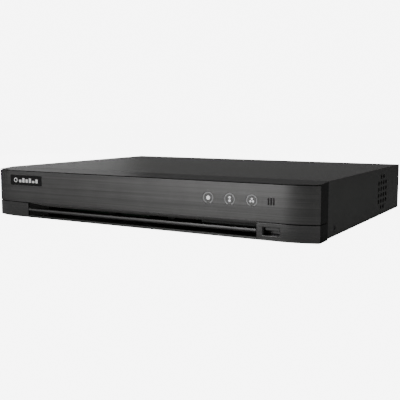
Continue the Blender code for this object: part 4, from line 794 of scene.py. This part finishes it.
class RECORDER_OT_screws(bpy.types.Operator):
    """Side and rear case screws"""

    bl_idname = "recorder.screws"
    bl_label = "Screws"

    def execute(self, context):
        for side, way in (("left", -X), ("right", X)):
            for end in ("front", "back"):
                case_screw(f"side_screw_{side}_{end}", way, "Black screw")
            case_screw(f"rear_screw_{side}", Y, "Black screw")
        case_screw("ground_screw", Y, "Nickel")
        return {"FINISHED"}


class RECORDER_OT_feet(bpy.types.Operator):
    """Rubber feet with grip rings"""

    bl_idname = "recorder.feet"
    bl_label = "Feet"

    def execute(self, context):
        groove = context.scene.recorder_case.foot_groove
        for end in ("front", "back"):
            for side in ("left", "right"):
                node = f"rubber_foot_{end}_{side}"
                low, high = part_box(node)
                centre = (low + high) / 2
                radius = (high.x - low.x) / 2
                start = Vector((centre.x, centre.y, low.z))
                foot = refined(node, f"foot_{end}_{side}", 0.15 * MM)
                for share in GRIP_RINGS:
                    outer, inner = radius * share, radius * (share - GRIP_WIDE)
                    ring = turned("groove", start, Z, [(outer, -MM), (outer, groove)], ROUND_SIDES)
                    cut(ring, turned("core", start, Z, [(inner, -2 * MM), (inner, 2 * MM)], ROUND_SIDES))
                    cut(foot, ring)
                done(foot, "Foot rubber", stands_for=[node])
        return {"FINISHED"}


# Rear and inside

DATA_CONTACTS = (4, 2.3 * MM, 1.1 * MM)  # how many, how far apart and how wide
CONTACT_LONG = 5 * MM
SPRING_PITCH = 1.02 * MM
PIN_PITCH, PIN_ROW = 2.29 * MM, 1.98 * MM  # the screen socket's holes, along X and Z
WIRE_SPREAD = 2.5  # from the terminal's middle to each of its wires, in millimetres
PRINT_TALL = 0.16 * MM  # the switch's marks, partly sunk into it
MARK_UP = 3.4 * MM

# Turned profiles
JACK_BARREL = in_mm(
    (6.7, 0), (7.2, 0.5), (7.2, 9.5), (6.8, 10.0), (5.6, 10.0), (5.6, 12.1), (5.2, 12.6), (4.65, 12.6),
    (4.65, 15.6), (4.8, 15.9), (4.8, 20.8), (4.5, 21.2), (4.2, 21.2), (4.05, 20.9), (4.05, 13.2), (2.9, 13.2),
    (2.9, 12.9))
JACK_LUG = in_mm((0.9, 0), (0.9, 1.0), (0.7, 1.2))
JACK_INSULATOR = in_mm((2.3, 13.0), (2.3, 19.2), (2.05, 19.6), (0.95, 19.6), (0.85, 19.2), (0.85, 16))
JACK_CONTACT = in_mm((0.7, 15), (0.7, 19.0), (0.6, 19.2), (0.38, 19.2), (0.38, 17))
AUDIO_COLLAR = in_mm((4.1, 0), (4.1, 1.3), (5.3, 1.3), (5.3, 2.6), (5.0, 3.0), (4.2, 3.0), (3.5, 3.0),
                     (3.5, 0.4))
AUDIO_SLEEVE = in_mm((3.4, 0.2), (3.4, 3.0), (4.1, 3.1), (4.1, 8.7), (3.85, 9.1), (3.6, 9.1), (3.45, 8.8),
                     (3.45, 4), (2.6, 4))
AUDIO_CORE = in_mm((3.2, 4.0), (3.2, 8.2), (3.0, 8.5), (1.7, 8.5), (1.6, 8.2), (1.6, 4.5))
SCREEN_POST = in_mm((2.6, 0), (2.6, 4.0), (2.2, 4.4), (1.5, 4.4), (1.3, 4.1), (1.3, 0.8))
SUPPLY_PIN = in_mm((1.1, 0), (1.1, 7.9), (0.9, 8.4), (0.55, 8.6))
OFF_MARK = in_mm((1.5, 0), (1.5, 0.16), (1.0, 0.16), (1.0, 0.02))
LID_DISC = in_mm((34, 0), (32.5, 0.35), (12, 0.35), (11.6, 0.15))
LID_SCREW = in_mm((2.4, 0), (2.4, 0.25), (2.0, 0.4), (1.1, 0.4), (1.0, 0.05))

INNER_NODES = (  # nodes whose shape stands, given an edge and a finish: node, finish, slot and body
    # The front board takes the near-black board with painted shade.
    ("front_board", "Board painted shade", "board", CASE), ("main_board", "Board", "board", CASE),
    ("drive_board", "Board", "board", CASE), ("heat_sink", "Cooler", "cooler", CASE),
    ("coin_cell", "Cell steel", "cell", CASE), ("fan_frame", "Fan plastic", "socket_plastic", CASE),
    ("fan_rotor", "Fan plastic", "socket_plastic", "fan_rotor"),
    ("drive_base", "Drive casting", "drive_casting", CASE),
    ("drive_platters", "Platter", "platter", "platter_pack"),
    ("drive_arm", "Bare aluminium", "drive_casting", "head_arm"),
    ("ribbon_lead", "Lead grey", "lead_grey", CASE), ("sata_data_lead", "Lead red", "lead_red", CASE),
    ("sata_power_lead", "Lead black", "lead_black", CASE), ("fan_lead", "Lead black", "lead_black", CASE),
)


def contact_row(name, x, y, z, count, pitch, wide):
    """Flat gold contacts side by side along X, hanging from height z and running back from y."""
    row = []
    for number in range(count):
        left = x + (number - (count - 1) / 2) * pitch - wide / 2
        contact = block(name, (left, y, z - 0.12 * MM), (left + wide, y + CONTACT_LONG, z + 0.02 * MM))
        row.append(soften(contact, 0.04 * MM, 1))
    done(joined(*row), "Gold contact")


def make_video_jacks():
    """Bayonet jacks: a turned barrel with two lugs, an insulator and a contact, made once and copied."""
    nodes = [f"video_jack_{number}" for number in range(1, 9)]
    first = middle(nodes[0])
    start = Vector((first.x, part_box(nodes[0])[0].y, first.z))
    barrel = turned("jack_barrel_1", start, Y, JACK_BARREL, ROUND_SIDES)
    for way in (-X, X):
        barrel = joined(barrel, turned("lug", start + way * 4.5 * MM + Y * 18.2 * MM, way, JACK_LUG, 16))
    insulator = turned("jack_insulator_1", start, Y, JACK_INSULATOR, 32)
    contact = turned("jack_contact_1", start, Y, JACK_CONTACT, 20)
    kinds = ((barrel, "jack_barrel", "Nickel", "socket_metal"),
             (insulator, "jack_insulator", "Socket white", "socket_plastic"),
             (contact, "jack_contact", "Gold contact", "socket_metal"))
    for number, node in enumerate(nodes, 1):
        shift = middle(node) - first
        for piece, stem, finish_name, slot in kinds:
            copy = piece if number == 1 else twin(piece, f"{stem}_{number}", (shift.x, 0, shift.z))
            done(copy, finish_name, stands_for=[node] if stem == "jack_barrel" else ())


def make_audio_jacks(panel):
    low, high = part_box("audio_jacks")
    x, half = (low.x + high.x) / 2, (high.x - low.x) / 2
    face = panel - 1.1 * MM
    housing = soften(block("audio_housing", low, (high.x, face, high.z)), 0.4 * MM, 2)
    done(housing, "Socket black", stands_for=["audio_jacks"])
    for word, z, ring in (("in", low.z + half, "Audio in ring"), ("out", high.z - half, "Audio out ring")):
        for part, profile, sides, finish_name, slot in (
                ("collar", AUDIO_COLLAR, ROUND_SIDES, ring, "socket_plastic"),
                ("sleeve", AUDIO_SLEEVE, ROUND_SIDES, "Nickel", "socket_metal"),
                ("core", AUDIO_CORE, 36, ring, "socket_plastic")):
            done(turned(f"audio_{word}_{part}", (x, face, z), Y, profile, sides), finish_name)


def make_analogue_screen_socket(panel, edge):
    stand_in("vga_port", "screen_socket_shell", "Tinned shell", edge)
    centre = middle("vga_port")
    face = Vector((centre.x, panel, centre.z))
    insert = block_about("screen_socket_insert", face, (-7.2, 0.1, -2.9), (7.2, 4.4, 2.9))
    bpy.ops.object.mode_set(mode="EDIT")
    pick("VERT", lambda point: point.co.z < face.z)
    bpy.ops.transform.resize(value=(0.9, 1, 1), center_override=face)
    bpy.ops.object.mode_set(mode="OBJECT")
    soften(insert, 0.5 * MM, 3)
    for row in (-1, 0, 1):
        for column in range(5):
            across = (column - 2) * PIN_PITCH + (row == 0) * 1.14 * MM - 0.57 * MM
            hole = face + X * across + Z * row * PIN_ROW
            cut(insert, rod("hole", hole + Y * 2 * MM, hole + Y * 6 * MM, 0.5 * MM, 12))
    done(insert, "Socket blue")
    for side, word in ((-1, "left"), (1, "right")):
        post = turned(f"screen_socket_post_{word}", face + X * side * 12.5 * MM + Y * SINK, Y, SCREEN_POST, 6)
        done(soften(post, 0.1 * MM, 1), "Nickel", smooth=20)


def make_digital_screen_socket(edge):
    stand_in("hdmi_port", "digital_socket_shell", "Tinned shell", edge / 2)
    centre, face = middle("hdmi_port"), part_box("hdmi_port")[1].y
    x, z = centre.x, centre.z + 0.3 * MM
    tongue = block_about("digital_socket_tongue", (x, face, z), (-5.1, -9, -0.8), (5.1, -1.4, 0.8))
    done(soften(tongue, 0.15 * MM, 2), "Socket black")
    contact_row("digital_socket_contacts", x, face - 6.6 * MM, z - 0.8 * MM, 10, 1.0 * MM, 0.45 * MM)


def make_network_socket(edge):
    stand_in("lan_port", "network_socket_shell", "Tinned shell", edge)
    low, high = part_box("lan_port")
    mouth = Vector(((low.x + high.x) / 2, high.y, low.z))
    liner = block_about("network_socket_liner", mouth, (-5.8, -11.9, 1.6), (5.8, -0.3, 8.4))
    cut(liner, block_about("room", mouth, (-5.3, -11.2, 2.1), (5.3, 1, 9.5)))
    done(liner, "Socket black")
    springs = []
    for number in range(8):
        end = mouth + X * (number - 3.5) * SPRING_PITCH
        springs.append(rod("network_socket_springs", end + Vector((0, -2.2, 2.4)) * MM,
                           end + Vector((0, -10.5, 5.1)) * MM, 0.22 * MM, 8))
    done(joined(*springs), "Gold contact")
    for side, word, finish_name in ((-1, "left", "Link lamp green"), (1, "right", "Link lamp amber")):
        corner = Vector((mouth.x + side * 5.6 * MM, mouth.y, high.z))
        lamp = block_about(f"network_lamp_{word}", corner, (-1.3, -1, -3.0), (1.3, 0.15, -1.2))
        done(soften(lamp, 0.2 * MM, 2), finish_name)


def make_rear_data_socket(edge):
    stand_in("rear_usb_port", "rear_socket_shell", "Tinned shell", edge)
    centre, face = middle("rear_usb_port"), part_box("rear_usb_port")[1].y
    blade = block_about("rear_socket_tongue", (centre.x, face, centre.z), (-5.8, -9.4, 0.5), (5.8, -0.9, 2.6))
    done(soften(blade, 0.15 * MM, 2), "Socket black")
    contact_row("rear_socket_contacts", centre.x, face - 6.4 * MM, centre.z + 0.5 * MM, *DATA_CONTACTS)


def make_terminal(edge):
    stand_in("control_terminal", "terminal_block", "Terminal green", edge)
    for side in ("left", "right"):
        node = f"release_lever_{side}"
        lever = block(f"lever_{side}", *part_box(node))
        bpy.ops.object.mode_set(mode="EDIT")
        pick("FACE", lambda face: face.normal.y > 0.9)
        bpy.ops.mesh.inset(thickness=0.7 * MM, depth=0)
        bpy.ops.transform.translate(value=(0, -0.35 * MM, 0))
        bpy.ops.object.mode_set(mode="OBJECT")
        done(soften(lever, 0.2 * MM, 2, 20), "Lever orange", f"{side}_lever", [node])
    centre = middle("control_terminal")
    face = (centre.x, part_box("control_terminal")[1].y, centre.z)
    clamps = [block_about("terminal_clamps", face, (wire - 1.1, -5.2, -4.0), (wire + 1.1, -4.6, -1.6))
              for wire in (-WIRE_SPREAD, WIRE_SPREAD)]
    done(soften(joined(*clamps), 0.1 * MM, 1), "Nickel")


def make_supply_socket(edge):
    stand_in("dc_jack", "supply_socket", "Socket black", edge)
    centre, face = middle("dc_jack"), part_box("dc_jack")[1].y
    pin = turned("supply_socket_pin", (centre.x, face - 9.4 * MM, centre.z), Y, SUPPLY_PIN, 24)
    done(pin, "Nickel")


def make_switch(edge):
    """The rocker in its housing, with its two marks printed where they meet its face."""
    stand_in("rocker_housing", "switch_housing", "Socket black", edge * 2, 3)
    rocker = stand_in("power_rocker", "switch_rocker", "Socket black", edge * 2, 3,
                      body="rocker")
    bpy.context.view_layer.update()
    centre = middle("power_rocker")
    for word, height in (("on", MARK_UP), ("off", -MARK_UP)):
        hit, place, normal, _ = rocker.ray_cast(centre + Vector((0, 0.1, height)), -Y)
        if not hit:
            raise RuntimeError("the rocker's face was not found")
        start = place - normal * SINK
        if word == "on":
            mark = block("switch_mark_on", (-0.28 * MM, -1.5 * MM, 0), (0.28 * MM, 1.5 * MM, PRINT_TALL))
            mark.rotation_mode = "QUATERNION"
            mark.rotation_quaternion = Z.rotation_difference(normal)
            mark.location = start
            freeze(mark)
        else:
            mark = turned("switch_mark_off", start, normal, OFF_MARK, 36)
        done(mark, "Switch print", "rocker")


class RECORDER_OT_rear(bpy.types.Operator):
    """Rear sockets, terminal and power switch"""

    bl_idname = "recorder.rear"
    bl_label = "Rear sockets"

    def execute(self, context):
        edge = context.scene.recorder_rear.socket_edge
        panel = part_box("chassis_tray")[1].y
        make_video_jacks()
        make_audio_jacks(panel)
        make_analogue_screen_socket(panel, edge)
        make_digital_screen_socket(edge)
        make_network_socket(edge)
        make_rear_data_socket(edge)
        make_terminal(edge)
        make_supply_socket(edge)
        make_switch(edge)
        return {"FINISHED"}


CHIPS = (  # x and y of the middle, width, length and height in millimetres
    (96, 44, 14, 9, 1.0), (96, 60, 14, 9, 1.0), (24, 74, 9, 14, 1.0), (24, 90, 8, 6, 1.2),
    (64, 84, 12, 12, 1.2), (86, 84, 12, 12, 1.2), (108, 84, 12, 12, 1.2), (-30, 82, 14, 14, 1.1),
    (-58, 84, 8, 10, 1.2), (-12, 60, 18, 18, 1.4), (-46, 48, 10, 7, 1.3), (-74, 60, 7, 7, 1.2),
)
CHIP_PIN_PITCH = 1.6  # in millimetres, as the tables are
CANS = (  # x, y, radius and height
    (-104, 78, 4.0, 11), (-116, 78, 4.0, 11), (-104, 64, 3.2, 9), (-116, 66, 3.2, 9), (-90, 80, 3.2, 9),
    (118, 60, 2.5, 6), (118, 70, 2.5, 6), (-2, 84, 2.5, 6), (6, 84, 2.5, 6),
)
COILS = ((-124, 50), (-108, 48), (-92, 48))  # x and y
PLUGS = (  # x, y, width, length and height of the leads' sockets
    (24, 27.8, 10, 5.9, 7), (12, 27.8, 12, 5.9, 7), (97.5, 27.4, 14, 5, 6), (121, 35, 6.4, 8, 6),
)


def make_board_parts(top):
    """Chips with pins, cans, coils and lead sockets on the main board, whose top face is at this height."""
    chips, pins = [], []
    for x, y, wide, long, tall in CHIPS:
        spot = (x * MM, y * MM, top)
        half, end = wide / 2, long / 2
        chip = block_about("board_chips", spot, (-half, -end, 0.25), (half, end, 0.25 + tall))
        chips.append(soften(chip, 0.15 * MM, 1))
        count = int(wide // CHIP_PIN_PITCH)
        for number in range(count):
            at = (number - (count - 1) / 2) * CHIP_PIN_PITCH
            pins.append(block_about("board_pins", spot, (at - 0.3, -end - 0.9, 0.02),
                                    (at + 0.3, end + 0.9, 0.35)))
    done(joined(*chips), "Chip resin")
    done(joined(*pins), "Bare aluminium")
    sleeves, tops = [], []
    for x, y, radius, tall in CANS:
        start = (x * MM, y * MM, top + 0.02 * MM)
        sleeves.append(turned("board_can_sleeves", start, Z, in_mm(
            (radius, 0), (radius, tall), (radius * 0.9, tall + 0.2)), 24))
        tops.append(turned("board_can_tops", start, Z, in_mm(
            (radius * 0.86, tall + 0.1), (radius * 0.86, tall + 0.3), (radius * 0.5, tall + 0.22)), 24))
    done(joined(*sleeves), "Capacitor sleeve")
    done(joined(*tops), "Bare aluminium")
    coils = []
    for x, y in COILS:
        coil = block_about("board_coils", (x * MM, y * MM, top), (-4.5, -4.5, 0.02), (4.5, 4.5, 4))
        coils.append(soften(coil, 0.8 * MM, 3))
    done(joined(*coils), "Chip resin")
    sockets = []
    for x, y, wide, long, tall in PLUGS:
        spot = (x * MM, y * MM, top)
        half, end = wide / 2, long / 2
        socket = block_about("board_sockets", spot, (-half, -end, 0.02), (half, end, tall))
        cut(socket, block_about("room", spot, (1 - half, 1 - end, 2.02), (half - 1, end - 1, tall + 1)))
        sockets.append(soften(socket, 0.2 * MM, 1))
    done(joined(*sockets), "Plug white")


def make_drive_lid():
    """Pressed lid with a sunk field, a raised disc over the platters and its screws."""
    low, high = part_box("drive_lid")
    lid = block("drive_lid_sheet", low, high - Z * 0.35 * MM)
    bpy.ops.object.mode_set(mode="EDIT")
    pick("FACE", lambda face: face.normal.z > 0.9)
    bpy.ops.mesh.inset(thickness=6 * MM, depth=0)
    bpy.ops.mesh.inset(thickness=1.2 * MM, depth=-0.4 * MM)
    bpy.ops.object.mode_set(mode="OBJECT")
    platters = middle("drive_platters")
    disc = turned("disc", (platters.x, platters.y, high.z - 0.8 * MM), Z, LID_DISC, 64)
    lid = joined(lid, disc)
    done(soften(lid, 0.2 * MM, 2, 30), "Drive steel", stands_for=["drive_lid"])
    heads = []
    inset = 3.4 * MM
    for x in (low.x + inset, (low.x + high.x) / 2, high.x - inset):
        for y in (low.y + inset, high.y - inset):
            heads.append(turned("drive_lid_screws", (x, y, high.z - 0.4 * MM), Z, LID_SCREW, 24))
    done(joined(*heads), "Bare aluminium")


class RECORDER_OT_inside(bpy.types.Operator):
    """Boards, drive, fan and leads"""

    bl_idname = "recorder.inside"
    bl_label = "Inside"

    def execute(self, context):
        for node, finish_name, slot, body in INNER_NODES:
            stand_in(node, node + "_body", finish_name, 0.1 * MM, body=body)
        make_board_parts(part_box("main_board")[1].z)
        make_drive_lid()
        return {"FINISHED"}


# Stage

LIGHTS = (  # azimuth and elevation in degrees, distance, width and height in metres, setting and share of it
    ("front_light", -17, 5, 1.1, 0.26, 0.45, "front_light", 1.0),
    ("back_left_light", -128, 14, 1.2, 0.5, 0.35, "back_light", 0.85),
    ("back_light", -160, 17, 1.2, 0.7, 0.35, "back_light", 0.34),
    ("left_light", -56, 8, 1.2, 0.25, 0.4, "front_light", 0.18),
    ("edge_light", 41, 3, 1.2, 0.10, 0.35, "front_light", 0.06),
    ("top_light", -30, 80, 0.9, 0.8, 0.6, "top_light", 1.0),
    ("right_light", 70, 15, 1.2, 0.5, 0.4, "right_light", 1.0),
)
LIT_POINT = Vector((0, 0, 22 * MM))
FLOOR_GLOW = 7.0  # only what the camera sees, so the floor meets the backdrop without a line
BACKDROP_LIGHT, BACKDROP_SEEN = 0.06, 7.2


def outward(azimuth, elevation):
    """The way from the object at an azimuth to the right of straight ahead, and an elevation."""
    return Vector((sin(azimuth) * cos(elevation), -cos(azimuth) * cos(elevation), sin(elevation)))


def area_light(name, way, distance, wide, tall, power):
    """A soft rectangular light that looks at the lit point, and that the camera doesn't see."""
    start_clean()
    bpy.ops.object.light_add(type="AREA", location=LIT_POINT + way * distance)
    light = bpy.context.active_object
    light.name = name
    light.data.shape = "RECTANGLE"
    light.data.size = wide
    light.data.size_y = tall
    light.data.energy = power
    light.visible_camera = False
    light.rotation_euler = (-way).to_track_quat("-Z", "Y").to_euler()


def make_floor(colour):
    start_clean()
    bpy.ops.mesh.primitive_plane_add(size=40)
    floor = named("floor")
    material = bpy.data.materials.new("Pale floor")
    material.use_nodes = True
    tree = material.node_tree
    shader = tree.nodes["Principled BSDF"]
    shader.inputs["Base Color"].default_value = (*colour, 1)
    shader.inputs["Roughness"].default_value = 0.9
    shader.inputs["Specular IOR Level"].default_value = 0.1
    seen = tree.nodes.new("ShaderNodeLightPath")
    lift = add(tree, "ShaderNodeEmission", sockets={"Color": (1, 1, 1, 1)})
    strength = mathed(tree, "MULTIPLY", seen.outputs["Is Camera Ray"], FLOOR_GLOW)
    tree.links.new(strength, lift.inputs["Strength"])
    both = add(tree, "ShaderNodeAddShader", {0: shader.outputs[0], 1: lift.outputs[0]})
    tree.links.new(both.outputs[0], tree.nodes["Material Output"].inputs["Surface"])
    floor.data.materials.append(material)


def make_world():
    world = bpy.data.worlds.new("Studio")
    bpy.context.scene.world = world
    world.use_nodes = True
    tree = world.node_tree
    seen = tree.nodes.new("ShaderNodeLightPath")
    strength = add(tree, "ShaderNodeMix", {0: seen.outputs["Is Camera Ray"]}, data_type="FLOAT",
                   sockets={2: BACKDROP_LIGHT, 3: BACKDROP_SEEN})
    background = tree.nodes["Background"]
    background.inputs["Color"].default_value = (1, 1, 1, 1)
    tree.links.new(strength.outputs[0], background.inputs["Strength"])


class RECORDER_OT_stage(bpy.types.Operator):
    """Camera, pale floor and soft lights"""

    bl_idname = "recorder.stage"
    bl_label = "Stage"

    def execute(self, context):
        settings = context.scene.recorder_stage
        back = outward(settings.azimuth, settings.elevation)
        start_clean()
        bpy.ops.object.camera_add(location=Vector(settings.target) + back * settings.distance)
        camera = context.active_object
        camera.name = "camera"
        camera.data.lens = settings.lens
        camera.data.sensor_width = 36
        camera.data.clip_start = 0.01
        camera.rotation_euler = (-back).to_track_quat("-Z", "Y").to_euler()
        context.scene.camera = camera
        make_floor(tuple(settings.floor_colour))
        make_world()
        for name, azimuth, elevation, distance, wide, tall, key, share in LIGHTS:
            way = outward(radians(azimuth), radians(elevation))
            area_light(name, way, distance, wide, tall, getattr(settings, key) * share)
        return {"FINISHED"}


# Add-on


class RECORDER_PT_panel(bpy.types.Panel):
    """Lists the recorder's operators"""

    bl_label = "Recorder"
    bl_space_type = "VIEW_3D"
    bl_region_type = "UI"
    bl_category = "Recorder"

    def draw(self, context):
        for operator in OPERATORS:
            self.layout.operator(operator.bl_idname)
        for name, _ in SETTINGS:
            box = self.layout.box()
            group = getattr(context.scene, name)
            for key in group.bl_rna.properties.keys():
                if key not in {"rna_type", "name"}:
                    box.prop(group, key)


SETTINGS = (
    ("recorder_front", FrontSettings),
    ("recorder_case", CaseSettings),
    ("recorder_rear", RearSettings),
    ("recorder_stage", StageSettings),
)
OPERATORS = (
    RECORDER_OT_finishes, RECORDER_OT_plates, RECORDER_OT_moulding, RECORDER_OT_badge, RECORDER_OT_lights,
    RECORDER_OT_front_usb, RECORDER_OT_case, RECORDER_OT_screws, RECORDER_OT_feet, RECORDER_OT_rear,
    RECORDER_OT_inside, RECORDER_OT_stage,
)


def register():
    for name, group in SETTINGS:
        bpy.utils.register_class(group)
        setattr(bpy.types.Scene, name, bpy.props.PointerProperty(type=group))
    for operator in OPERATORS:
        bpy.utils.register_class(operator)
    bpy.utils.register_class(RECORDER_PT_panel)


def unregister():
    bpy.utils.unregister_class(RECORDER_PT_panel)
    for operator in reversed(OPERATORS):
        bpy.utils.unregister_class(operator)
    for name, group in reversed(SETTINGS):
        delattr(bpy.types.Scene, name)
        bpy.utils.unregister_class(group)


def main():
    register()
    for operator in OPERATORS:
        module, name = operator.bl_idname.split(".")
        getattr(getattr(bpy.ops, module), name)()
    start_clean()


if __name__ == "__main__":
    main()
